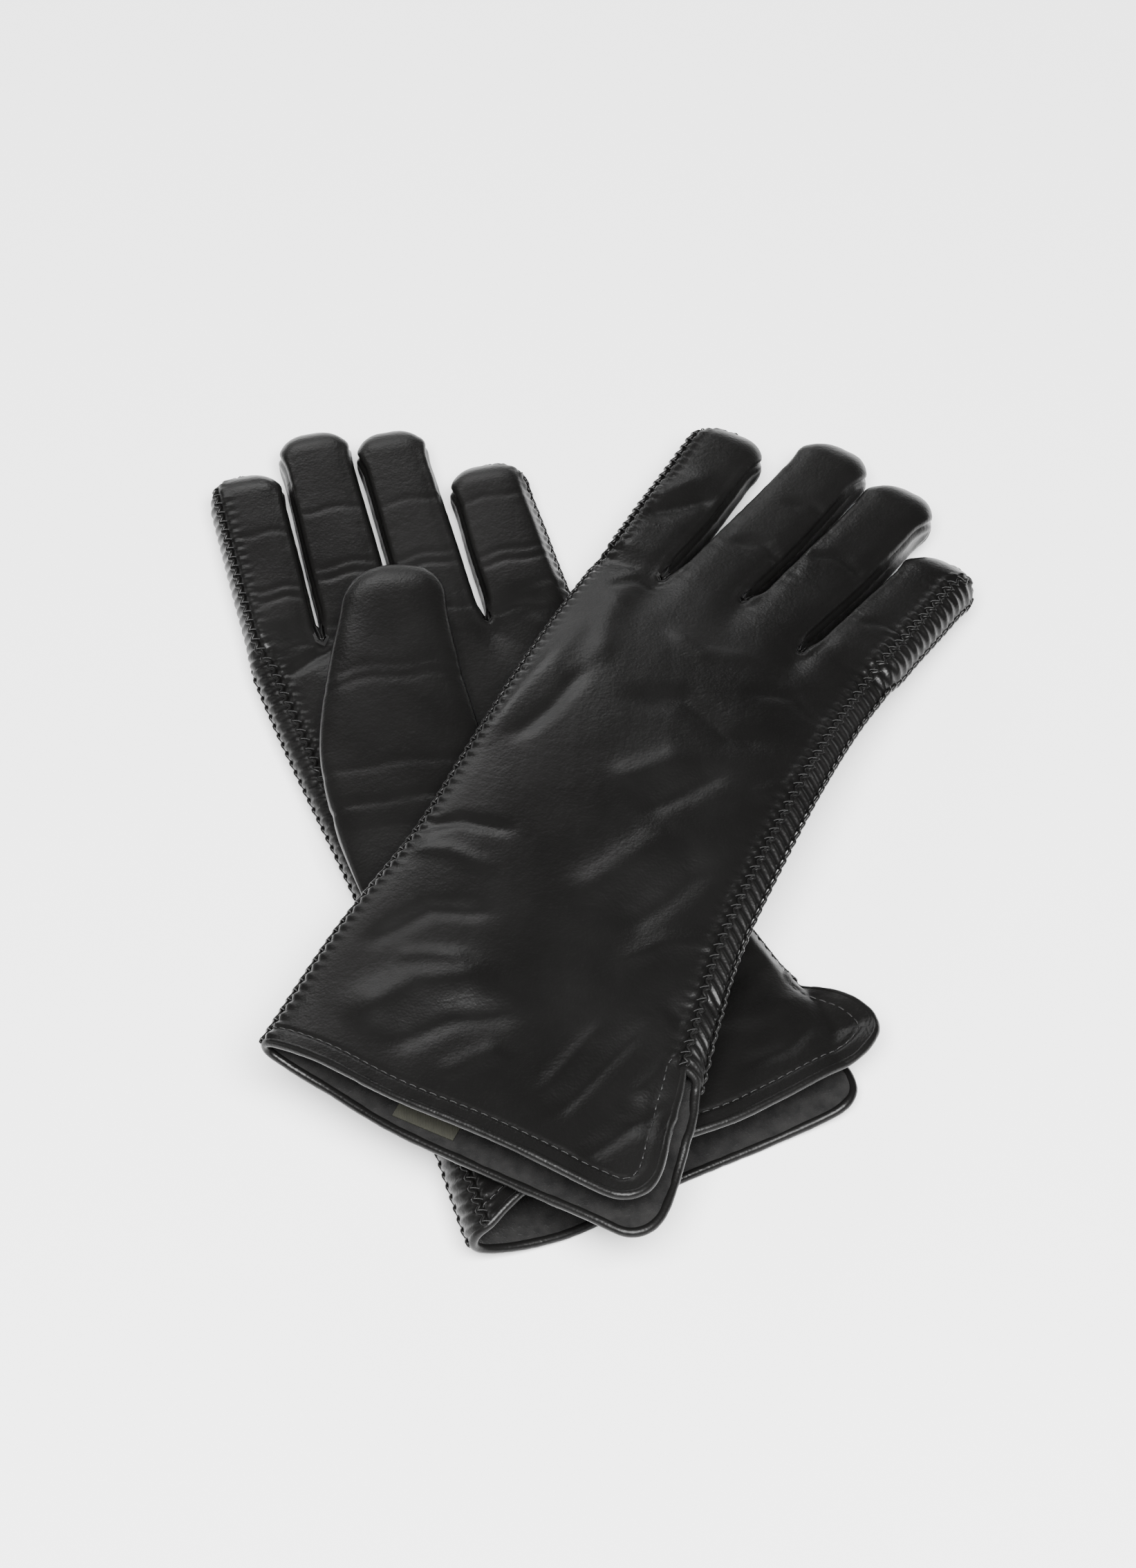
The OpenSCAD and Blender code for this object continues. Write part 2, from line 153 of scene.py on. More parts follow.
def noise(p, seed=0):
    """Smooth value noise from -1 to 1 for points given in cells."""
    base = np.floor(p).astype(np.int64)
    f = p - base
    f = f * f * (3 - 2 * f)
    total = 0
    for corner in range(8):
        o = np.array([corner & 1, corner >> 1 & 1, corner >> 2 & 1])
        c = base + o
        key = (c[:, 0] * 73856093 ^ c[:, 1] * 19349663 ^ c[:, 2] * 83492791 ^ seed * 2654435) & 65535
        w = np.prod(np.where(o == 1, f, 1 - f), axis=1)
        total = total + w * NOISE_CELLS[key]
    return total


# ------------------------ one glove's forms
def half_w(y):
    return curve(y, [(0, HEM_W / 2), (46, HEM_W / 2 - 3), (WRIST_Y, WRIST_W / 2),
                     (125, WRIST_W / 2 - 1), (KNUCKLE_Y, KNUCKLE_W / 2), (260, KNUCKLE_W / 2)])


def middle_x(y, g):
    return curve(y, [(0, MOUTH_SHIFT[g]), (WRIST_Y, 0), (KNUCKLE_Y, -HAND_OFFSET), (260, -HAND_OFFSET)])


def half_t(y, g):
    mouth = MOUTH_T[g] / 2
    return curve(y, [(-5, mouth), (30, mouth - 1.5), (WRIST_Y, BODY_T / 2), (140, BODY_T / 2)])


def middle_z(y, g):
    if g == LEFT:
        return -half_t(y, g)
    under = curve(y, [(0, RIGHT_LIFT - 0.5), (WRIST_Y, RIGHT_LIFT), (160, RIGHT_LIFT - 4.2),
                      (202, RIGHT_LIFT - 12), (255, RIGHT_TIP_LIFT + 5), (310, RIGHT_TIP_LIFT)])
    return under + half_t(y, g)


def place(x, y, z, g):
    return np.stack(np.broadcast_arrays(x, y, z + middle_z(y, g)), -1)


def slot_x(i):
    return -HAND_OFFSET + KNUCKLE_W * (SHARE[i] - 0.5)


def finger_turn(i, g):
    return math.atan2(TIP_SHIFT[g][i], FINGER_L[i])


def finger_origin(i):
    return (slot_x(i) + slot_x(i + 1)) / 2, (CROTCH[i] + CROTCH[i + 1]) / 2


def slanted(i, g, s, across, crotch):
    """Distance along a finger of a row that starts on the slanting line between its crotches."""
    t = finger_turn(i, g)
    off = crotch - (finger_origin(i)[1] - across * math.sin(t))
    return s + off * (1 - smoothstep(s / 32))


def tip_factor(s, length, round_l):
    return np.sqrt(np.clip(1 - (np.maximum(s - length + round_l, 0) / round_l) ** 2, 4e-4, 1))


def finger_half(i, s, g):
    """Half the width and half the thickness of a finger at a distance s along it."""
    base = slot_x(i + 1) - slot_x(i) - 2 * SHOWN_GAP
    f = tip_factor(s, FINGER_L[i], TIP_ROUND)
    w = base + (TIP_W - base) * np.clip(s / (FINGER_L[i] - TIP_ROUND), 0, 1)
    w = w + PLUMP[g][i] * smoothstep(s / 40)
    return w / 2 * f, BODY_T / 2 * f * (1 - 0.06 * np.clip(s / FINGER_L[i], 0, 1))


def on_finger(i, g, s, across, through):
    t = finger_turn(i, g)
    x0, y0 = finger_origin(i)
    return place(x0 + s * math.sin(t) + across * math.cos(t),
                 y0 + s * math.cos(t) - across * math.sin(t), through, g)


def turned(v, g):
    """From the directions of the glove's own frame to the row frame's. The left glove lies palm up."""
    x, y, z = v[..., 0], v[..., 1], v[..., 2]
    t = math.radians(TURN[g])
    c, s = math.cos(t), math.sin(t)
    return np.stack([x * c + y * s, y * c - x * s, -z if g == LEFT else z], -1)


def row_frame(p, g):
    """From the glove's own frame in millimetres to the row frame in metres."""
    return (turned(p, g) + (*ORIGIN[g], HEM_PROUD)) * MM


# ------------------------ seams
# where the flaps beside the slit end, from the hem to the slit's end, as (y, x)
FLAP_EDGE = {
    (LEFT, BACK): [(0, 64), (12, 62), (25, 60), (SLIT_L, 58)],
    (LEFT, PALM): [(0, 66), (14, 70), (24, 72.5), (33, 69.5), (SLIT_L, 59)],
    (RIGHT, BACK): [(0, 65), (9, 64), (23, 60.5), (SLIT_L, 55.5)],
    (RIGHT, PALM): [(0, 67), (8, 67), (20, 65.3), (33, 63), (SLIT_L, 60)],
}
# where the hem runs, from the thumb side on, as (x, y), and the radius of the slit's corner
HEM_LINE = {
    (LEFT, PALM): ([(0, -5), (14, 0), (60, 1), (86, 2), (102, 6), (116, 11), (128, 15)], 8.0),
    (LEFT, BACK): ([(0, -5), (30, -5), (60, 0.5), (85, 3), (124, 5.5)], 9.0),
    (RIGHT, BACK): ([(0, 3), (20, 2), (45, -1), (70, -1), (120, -3)], 11.0),
    (RIGHT, PALM): ([(0, 3), (20, 2), (45, -1), (70, -2), (120, -4)], 9.0),
}


def hand_edge(g, face, side, y):
    """Where a panel ends on the hand, as a share of the half width."""
    a = half_w(y)
    narrow = 1 - 0.25 / a
    if side > 0:
        edge = 1 - STRIP_W[1] / a if face == BACK else narrow
        free = (curve(y, FLAP_EDGE[g, face]) - middle_x(y, g)) / a
        return edge + (free - edge) * smoothstep((SLIT_L + 4 - y) / 8)
    return narrow if face == BACK else 1 - STRIP_W[0] / a


def finger_edge(i, face, side, s, g):
    """The same on a finger. The strip or fourchette beside it narrows to nothing near the tip."""
    a = np.maximum(finger_half(i, s, g)[0], 3)
    taper = smoothstep((FINGER_L[i] - 1.5 - s) / 10)
    if side > 0 and i == 3:
        edge = 1 - (STRIP_W[1] if face == BACK else 0.4) / a
    elif side < 0 and i == 0:
        edge = 1 - (2.0 if face == BACK else 2.2) / a
    else:
        edge = 1 - 1.15 / a
        taper = smoothstep((FINGER_L[i] - 7 - s) / 12)
    return 1 - (1 - edge) * taper - 1e-4


def hem_y(g, face, share, width):
    """Where the hem runs, with the slit's corner rounded. share goes from the thumb side to the slit."""
    line, r = HEM_LINE[g, face]
    d = np.clip((1 - share) * width, 0, r)
    return curve(share * width, line) + r - np.sqrt(np.maximum(r * r - (r - d) ** 2, 0))


def finger_rows(i):
    body = np.arange(0, FINGER_L[i] - TIP_ROUND, ROW_STEP)
    body[np.abs(body - CUT_Y).argmin()] = CUT_Y
    turn = np.linspace(0, math.pi / 2, 13)
    return np.concatenate([body, FINGER_L[i] - TIP_ROUND + TIP_ROUND * np.sin(turn)])


def panel(g, face):
    """Grids of one side of the glove: the hand, and each finger from the hand's last row on."""
    local = (eased(FINGER_COLS) + 1) / 2
    rows = np.concatenate([np.arange(0, 8, ROW_STEP / 2), np.arange(8, 214, ROW_STEP), [214]]) / 214
    share, comb = [], []
    for i in range(4):
        t = local[:FINGER_COLS + (i == 3)]
        share.append(SHARE[i] + (SHARE[i + 1] - SHARE[i]) * t)
        comb.append(CROTCH[i] + (CROTCH[i + 1] - CROTCH[i]) * t)
    share, comb = np.concatenate(share), np.concatenate(comb)
    hem = hem_y(g, face, share, HEM_W + 4)
    y = hem[None] + rows[:, None] * (comb - hem)[None]
    left, right = -hand_edge(g, face, -1, y), hand_edge(g, face, 1, y)
    # inner finger boundaries stay where they are, the outer ones follow the seams
    slots = [(slot_x(k) + HAND_OFFSET) / (KNUCKLE_W / 2) for k in (1, 2, 3)]
    bounds = [left, *(np.full_like(y, slot) for slot in slots), right]
    x = np.zeros_like(y)
    for i in range(4):
        t = local[:FINGER_COLS + (i == 3)]
        cols = slice(i * FINGER_COLS, i * FINGER_COLS + len(t))
        x[:, cols] = bounds[i][:, cols] + (bounds[i + 1] - bounds[i])[:, cols] * t
    height = face * half_t(y, g) * flap_lift(x, y, (0.62, 0.9)[g])
    if face == PALM:
        height = height + WRAP * smoothstep((x - right + 0.075) / 0.075) * smoothstep((y - SLIT_L) / 14)
    hand = place(middle_x(y, g) + half_w(y) * x, y, height, g)
    fingers = []
    for i in range(4):
        s = finger_rows(i)[:, None]
        cols = slice(i * FINGER_COLS, (i + 1) * FINGER_COLS + 1)
        x0, c0 = x[-1, cols][None], comb[cols][None]
        near_y = c0 + s
        near = place(middle_x(near_y, g) + half_w(near_y) * x0, near_y,
                     hand[-1, cols, 2][None] - middle_z(c0, g), g)
        a, _ = finger_half(i, s, g)
        fx = finger_x(-finger_edge(i, face, -1, s, g), finger_edge(i, face, 1, s, g), local[None])
        along = slanted(i, g, s, a * fx, c0)
        a, b = finger_half(i, along, g)
        fx = finger_x(-finger_edge(i, face, -1, along, g), finger_edge(i, face, 1, along, g), local[None])
        through = face * b * bulge(fx, 3.5)
        if face == PALM and i == 3:
            hi = finger_edge(i, face, 1, along, g)
            through = (through + WRAP * smoothstep((fx - hi + 0.3) / 0.3)
                       * smoothstep((FINGER_L[i] - 4 - s) / 14))
        far = on_finger(i, g, along, a * fx, through)
        w = smoothstep(s / 13)[..., None]
        wide = np.sqrt(np.clip(s / 4.5, 0, 1))[..., None] * (1 - w) * 0.55 + w
        p = near + (far - near) * w
        # the slit opens as a small round end before the finger has its own form
        opened = np.maximum(w, np.minimum(wide, w + 0.25 * (s[..., None] > 0)))
        p[..., :2] = near[..., :2] + (far - near)[..., :2] * opened
        fingers.append(p)
    return hand, fingers


def finger_x(lo, hi, t):
    """Places across a finger's section from seam lo to seam hi, even along the surface."""
    a0 = np.arccos(np.clip(-lo, -1, 1) ** (POWER / 2))
    a1 = np.arccos(np.clip(hi, -1, 1) ** (POWER / 2))
    angle = math.pi - a0 + (a1 - math.pi + a0) * t
    c = np.cos(angle)
    return np.sign(c) * np.abs(c) ** (2 / POWER)


def flap_lift(x, y, least):
    """The section's height. At the slit the free flaps stay higher than a closed edge."""
    free = smoothstep((SLIT_L + 2 - y) / 20) * smoothstep((x - 0.55) / 0.4)
    return bulge(np.clip(x, -1, 1) * (1 - 0.07 * free)) * (1 - free) + free * np.maximum(
        bulge(np.clip(x, -1, 1) * 0.93), least * smoothstep((SLIT_L - y) / 30))


class Surface:
    """Grids of points welded into one surface of quads, each with the name of its piece."""

    def __init__(self):
        self.points, self.quads, self.names, self.shapes, self.count = [], [], [], [], 0

    def add(self, grid, owner, flip=False):
        """owner is a name, or a name for each row of quads. Returns the grid's number."""
        r, c = grid.shape[:2]
        q = grid_quads(r, c) + self.count
        self.quads.append(q[:, ::-1] if flip else q)
        owner = [owner] * (r - 1) if isinstance(owner, str) else owner
        self.names += [name for name in owner for _ in range(c - 1)]
        self.points.append(grid.reshape(-1, 3))
        self.shapes.append((self.count, r, c))
        self.count += r * c
        return len(self.shapes) - 1

    def weld(self):
        p = np.concatenate(self.points)
        q = np.concatenate(self.quads)
        key = np.round(p * 500).astype(np.int64)
        _, first, back = np.unique(key, axis=0, return_index=True, return_inverse=True)
        self.back = back.reshape(-1)
        q = self.back[q]
        ok = np.array([len(set(f)) == 4 for f in q.tolist()])
        self.p, self.q, self.name = p[first], q[ok], np.array(self.names)[ok]
        return self

    def grid(self, number):
        """The welded points' numbers of one grid, row by row."""
        start, r, c = self.shapes[number]
        return self.back[start:start + r * c].reshape(r, c)


def vertex_normals(p, q):
    f = face_vectors(p, q)
    n = np.zeros_like(p)
    for k in range(4):
        np.add.at(n, q[:, k], f)
    return unit(n, 1e-12)


def glove_surface(g):
    """All the leather of a glove but its thumb, with the piece that each quad belongs to."""
    s = Surface()
    s.hand, s.finger, s.strip, s.gusset = {}, {}, {}, {}
    faces = {}
    for face, name in ((BACK, "back"), (PALM, "palm")):
        hand, fingers = panel(g, face)
        faces[face] = (hand, fingers)
        s.hand[face] = s.add(hand, f"{name}_panel", flip=face == PALM)
        for i, grid in enumerate(fingers):
            rows = finger_rows(i)
            owner = [f"{name}_panel" if rows[k] < CUT_Y - 0.1 else f"{FINGERS[i]}_{name}"
                     for k in range(len(rows) - 1)]
            s.finger[face, i] = s.add(grid, owner, flip=face == PALM)
    hand_back, fingers_back = faces[BACK]
    hand_palm, fingers_palm = faces[PALM]
    t = (eased(SIDE_COLS) + 1) / 2
    # decorative strips down both edges
    for side, i, col in ((-1, 0, 0), (1, 3, -1)):
        top = np.concatenate([hand_back[:, col], fingers_back[i][1:, col]])
        low = np.concatenate([hand_palm[:, col], fingers_palm[i][1:, col]])
        rows = finger_rows(i)
        n_hand = len(hand_back)
        y = (top[:, 1] + low[:, 1]) / 2
        start = 0 if side < 0 else int(np.argmin(np.abs(y[:n_hand] - SLIT_L)))
        wrapped = smoothstep((y - SLIT_L) / 14) if side > 0 else 0 * y
        near = place(middle_x(y, g) + side * (half_w(y) - 2.6 * wrapped), y,
                     wrapped * half_t(y, g) * bulge(1 - 2.6 / half_w(y)), g)
        reach, thick = finger_half(i, rows, g)
        wrapped = smoothstep((FINGER_L[i] - 4 - rows) / 14) if side > 0 else 0 * rows
        fx = 1 - 2.2 * wrapped / np.maximum(reach, 4)
        far = on_finger(i, g, slanted(i, g, rows, side * reach, hand_back[-1, col, 1]), side * reach * fx,
                        wrapped * thick * bulge(fx, 3.5))
        w = smoothstep(rows / 13)[:, None]
        contour = np.concatenate([near[:n_hand], (near[n_hand - 1:] * (1 - w) + far * w)[1:]])
        # a curve through the top edge, the contour and the bottom edge
        d_top = np.linalg.norm(top - contour, axis=1)
        d_low = np.linalg.norm(low - contour, axis=1)
        m = np.clip(d_top / np.maximum(d_top + d_low, 1e-6), 0.15, 0.85)[:, None]
        ctrl = (contour - (1 - m) ** 2 * top - m ** 2 * low) / (2 * m * (1 - m))
        tt = t[None, :, None]
        grid = (1 - tt) ** 2 * top[:, None] + 2 * tt * (1 - tt) * ctrl[:, None] + tt ** 2 * low[:, None]
        owner = [("inner_strip" if side < 0 else "outer_strip") if k < n_hand - 1
                 or rows[k - n_hand + 1] < CUT_Y - 0.1 else f"{FINGERS[i]}_sides"
                 for k in range(start, len(top) - 1)]
        cut = sum(name.endswith("strip") for name in owner)
        s.strip[side] = s.add(grid[start:], owner, flip=side < 0), cut
    # fourchettes, from fingertip round the crotch to the next fingertip
    for i in range(3):
        ra, rb = finger_rows(i), finger_rows(i + 1)
        top = np.concatenate([fingers_back[i][::-1, -1], fingers_back[i + 1][1:, 0]])
        low = np.concatenate([fingers_palm[i][::-1, -1], fingers_palm[i + 1][1:, 0]])
        na = len(ra)
        turn_a, turn_b = finger_turn(i, g), finger_turn(i + 1, g)
        out = np.concatenate([
            np.tile([math.cos(turn_a), -math.sin(turn_a), 0], (na - 1, 1)), [[0, 1, 0]],
            np.tile([-math.cos(turn_b), math.sin(turn_b), 0], (len(rb) - 1, 1))])
        dist = np.concatenate([ra[::-1], rb[1:]])
        length = np.concatenate([np.full(na, FINGER_L[i]), np.full(len(rb) - 1, FINGER_L[i + 1])])
        reach = 0.12 * smoothstep(dist / 6) * smoothstep((length - 7 - dist) / 12) + 0.6 * (dist == 0)
        round_out = np.sin(math.pi * t) ** 0.9
        grid = (top[:, None] + (low - top)[:, None] * t[None, :, None]
                + (out * reach[:, None])[:, None] * round_out[None, :, None])
        owner = []
        for k in range(len(top) - 1):
            on_a = k < na - 1
            near = (ra[::-1][k + 1] if on_a else rb[k - na + 1]) < CUT_Y - 0.1
            owner.append(f"fourchette_{i + 1}" if near else f"{FINGERS[i if on_a else i + 1]}_sides")
        s.gusset[i] = s.add(grid, owner, flip=True)
    return s.weld()


def nearest(points, query):
    """The number of the nearest of the points to each query, and its distance."""
    tree = kdtree.KDTree(len(points))
    for k, v in enumerate(points.tolist()):
        tree.insert(v, k)
    tree.balance()
    found = [tree.find(v)[1:] for v in query.tolist()]
    return np.array([f[0] for f in found]), np.array([f[1] for f in found])


def to_line(p, line):
    """Distance from points to a line of (x, y) corners, and how far along it they lie, 0 to 1."""
    line = np.array(line, float)
    seg = np.linalg.norm(np.diff(line, axis=0), axis=1)
    start = np.concatenate([[0], np.cumsum(seg)])
    best, along = np.full(len(p), 1e9), np.zeros(len(p))
    for k in range(len(seg)):
        d = line[k + 1] - line[k]
        t = np.clip(((p[:, :2] - line[k]) @ d) / (d @ d), 0, 1)
        r = np.linalg.norm(p[:, :2] - line[k] - t[:, None] * d, axis=1)
        better = r < best
        best[better] = r[better]
        along[better] = ((start[k] + t * seg[k]) / start[-1])[better]
    return best, along


# Folds where hands and packing creased the leather: height, half width, line.
LEFT_PALM_FOLDS = (
    (-0.7, 2.2, [(-52, 205), (-30, 214), (-8, 212)]),
    (-0.6, 1.8, [(-20, 224), (-8, 229), (6, 226)]),
    (0.5, 3.0, [(-44, 178), (-28, 190), (-10, 193)]),
    (-0.5, 1.5, [(-58, 160), (-44, 172), (-38, 190)]),
    (-1.0, 4.0, [(56, 58), (40, 50), (22, 50)]),
    (0.8, 4.0, [(60, 40), (40, 34), (18, 38)]),
    (-0.6, 2.5, [(58, 30), (44, 20), (26, 18)]),
    (-0.8, 3.0, [(-56, 96), (-40, 88), (-22, 90)]),
    (0.5, 2.5, [(30, 205), (40, 196), (46, 182)]),
    (-0.45, 1.3, [(34, 212), (40, 214), (46, 213)]),
)
LEFT_BACK_FOLDS = (
    (0.4, 6.0, [(-30, 60), (0, 66), (30, 60)]),
)
RIGHT_BACK_FOLDS = (
    (1.9, 7.5, [(-37, 14), (-24, 36), (-3, 50)]),
    (-1.1, 5.0, [(-24, 10), (-10, 30), (10, 42)]),
    (-0.9, 3.5, [(-46, 40), (-33, 62), (-12, 70)]),
    (0.8, 5.0, [(-52, 118), (-46, 161), (-44, 197)]),
    (-0.7, 3.0, [(-42, 127), (-36, 147), (-34, 170)]),
    (0.9, 4.5, [(-31, 168), (-38, 190), (-42, 211)]),
    (-1.0, 4.5, [(-22, 160), (-2, 168), (16, 160), (34, 166)]),
    (0.8, 5.0, [(-8, 126), (2, 138), (10, 150)]),
    (-0.9, 4.0, [(4, 118), (14, 134), (22, 150)]),
    (1.1, 6.0, [(2, 80), (10, 100), (18, 121)]),
    (-1.1, 5.0, [(18, 76), (26, 96), (32, 118)]),
    (0.6, 3.0, [(-36, 42), (-26, 47), (-13, 51)]),
    (0.7, 4.0, [(-4, 8), (2, 18), (9, 28)]),
    (-0.9, 3.2, [(42, 0), (50, 18), (57, 38)]),
    (0.8, 3.0, [(47, 26), (50, 38), (52, 52)]),
    (-0.8, 2.6, [(30, 8), (35, 32), (40, 56)]),
    (0.7, 3.0, [(24, 12), (27, 30), (30, 50)]),
    (-1.0, 4.0, [(56, 74), (50, 66), (44, 56)]),
    (0.6, 3.5, [(50, 92), (34, 82), (22, 66)]),
    (-0.7, 2.6, [(-52, 88), (-40, 96), (-22, 98)]),
    (0.5, 2.8, [(-52, 80), (-38, 84), (-20, 82)]),
    (-0.6, 2.2, [(-46, 206), (-38, 213), (-29, 211)]),
    (0.6, 3.5, [(-22, 196), (-6, 190), (12, 197)]),
    (-0.9, 3.0, [(-52, 240), (-44, 248), (-33, 262)]),
    (0.7, 3.5, [(-54, 249), (-47, 258), (-38, 272)]),
    (-0.7, 2.4, [(-22, 243), (-12, 248), (0, 240)]),
    (-0.5, 2.2, [(-14, 268), (-6, 272), (4, 268)]),
    (-0.6, 2.4, [(2, 249), (12, 254), (24, 247)]),
    (-0.5, 2.2, [(28, 228), (38, 232), (50, 226)]),
    (-0.6, 3.0, [(10, 180), (26, 186), (40, 178)]),
    (0.5, 3.0, [(30, 140), (40, 152), (44, 170)]),
)
FOLDS = ({PALM: LEFT_PALM_FOLDS, BACK: LEFT_BACK_FOLDS}, {BACK: RIGHT_BACK_FOLDS})


def folded(g, p, n):
    """How far the folds, the sag and the creases at the joints lift each point."""
    lift = np.zeros(len(p))
    for face, folds in FOLDS[g].items():
        side = smoothstep((n[:, 2] * face + 0.15) / 0.5)
        for height, width, line in folds:
            r, along = to_line(p, line)
            ends = smoothstep(along / 0.25) * smoothstep((1 - along) / 0.25)
            lift += FOLD_DEPTH * height * np.exp(-(r / width) ** 2) * ends * side
    lift += noise(p / [30, 44, 30], 3 + g) * 0.5 + noise(p / [10, 18, 12], 5 + g) * 0.12
    lift += noise((p @ [[0.9, -0.4, 0], [0.4, 0.9, 0], [0, 0, 1]]) / [3.4, 9.0, 6], 9 + g) * 0.05
    # hollows where the fingers part
    for i in range(1, 4):
        r2 = ((p[:, 0] - slot_x(i)) / 5.5) ** 2 + ((p[:, 1] - CROTCH[i] + 3) / 12) ** 2
        lift -= 1.5 * np.exp(-r2)
    # creases across each finger's joints
    for i in range(4):
        t = finger_turn(i, g)
        x0, y0 = finger_origin(i)
        s = (p[:, 0] - x0) * math.sin(t) + (p[:, 1] - y0) * math.cos(t)
        across = (p[:, 0] - x0) * math.cos(t) - (p[:, 1] - y0) * math.sin(t)
        mine = smoothstep((slot_x(i + 1) - slot_x(i)) / 2 + 1.5 - np.abs(across)) * (p[:, 1] > CROTCH[i] - 10)
        for place_s, depth in ((2, 0.22), (JOINT_Y - 2, 0.3), (JOINT_Y + 2.4, 0.22), (JOINT_Y + 26, 0.18)):
            bow = s - place_s - 0.6 * np.sin(across * 0.45 + i)
            lift -= mine * depth * (0.4 + 0.6 * (n[:, 2] < 0)) * np.exp(-(bow / 1.3) ** 2)
    return lift


def tangents(path, closed=False):
    d = (np.roll(path, -1, 0) - np.roll(path, 1, 0)) if closed else np.gradient(path, axis=0)
    return unit(d)


def resample(data, step, closed=False):
    """Points a step apart along a path. Columns after the first three are carried along."""
    if closed:
        data = np.concatenate([data, data[:1]])
    seg = np.linalg.norm(np.diff(data[:, :3], axis=0), axis=1)
    keep = np.concatenate([[True], seg > 1e-6])
    data = data[keep]
    s = distances(data[:, :3])
    n = max(int(round(s[-1] / step)), 3)
    at = np.linspace(0, s[-1], n + 1)[:-1] if closed else np.linspace(0, s[-1], n + 1)
    return np.stack([np.interp(at, s, data[:, k]) for k in range(data.shape[1])], 1)


def sculpt(g, s):
    """Folds, then seams, pleats and the hem's band, on a welded glove. Sets p1, p2 and their normals."""
    n0 = vertex_normals(s.p, s.q)
    lift = folded(g, s.p, n0)
    if g == RIGHT:
        lift = np.where(n0[:, 2] < -0.2, np.minimum(lift, 0.25), lift)
    # folds move the leather up and down only, so that the walls between the fingers stay put
    s.p1 = s.p + n0 * [0, 0, 1] * lift[:, None]
    # the outer edge flares into the little finger in one smooth line
    edge_x = middle_x(KNUCKLE_Y, g) + KNUCKLE_W / 2
    near_corner = np.exp(-((s.p1[:, 1] - CROTCH[4] - 4) / 15) ** 2)
    s.p1[:, 0] += (CORNER_FLARE * math.sin(finger_turn(3, g)) * near_corner
                   * smoothstep((s.p1[:, 0] - edge_x + 16) / 16))
    if g == LEFT:
        s.p1[:, 2] = np.minimum(s.p1[:, 2], 0.35)
    s.n1 = vertex_normals(s.p1, s.q)
    # where the seams run, and whether they are the decorative ones, which pucker the leather beside them
    pieces = [(number, True) for number, _ in s.strip.values()]
    pieces += [(number, False) for number in s.gusset.values()]
    lines = [(s.grid(number)[:, col], deco) for number, deco in pieces for col in (0, -1)]
    pts = np.concatenate([s.p1[ids] for ids, _ in lines])
    along = np.concatenate([distances(s.p1[ids]) for ids, _ in lines])
    fancy = np.concatenate([np.full(len(ids), deco) for ids, deco in lines])
    k, d = nearest(pts, s.p1)
    fine = -0.62 * np.exp(-(d / 0.8) ** 2) + 0.34 * np.exp(-((d - 2.1) / 1.1) ** 2)
    pleat = np.cos(2 * math.pi * along[k] / STITCH_STEP)
    fine += np.where(fancy[k], -0.34 * pleat * np.exp(-((d - 1.8) / 2.0) ** 2), 0)
    # small gathers that run a little way in from plain seams
    fine += np.where(fancy[k], 0, 0.12 * noise(s.p1 / [2.2, 2.6, 3], 21) * np.exp(-(d / 4) ** 2))
    # the hem's doubled band, with its stitching in a groove
    s.loop = hem_loop(s)
    _, dh = nearest(s.loop[:, :3], s.p1)
    fine += 0.16 * smoothstep((HEM_BAND - dh) / 0.8) - 0.3 * np.exp(-((dh - HEM_BAND) / 0.75) ** 2)
    s.p2 = s.p1 + s.n1 * fine[:, None]
    s.n2 = vertex_normals(s.p2, s.q)
    return s


def hem_loop(s):
    """The edge of the leather round the mouth and the slit, with its normals, as one closed path."""
    back, palm = s.grid(s.hand[BACK]), s.grid(s.hand[PALM])
    inner, outer = s.grid(s.strip[-1][0]), s.grid(s.strip[1][0])
    start = int(np.flatnonzero(back[:, -1] == outer[0, 0])[0])
    ids = np.concatenate([outer[0, ::-1], back[start::-1, -1], back[0, ::-1], inner[0], palm[0],
                          palm[:start + 1, -1]])
    path = resample(np.concatenate([s.p1[ids], s.n1[ids]], 1), 1.0, True)
    for _ in range(3):
        path = path * 0.5 + (np.roll(path, 1, 0) + np.roll(path, -1, 0)) * 0.25
    path[:, 3:] = unit(path[:, 3:])
    return path


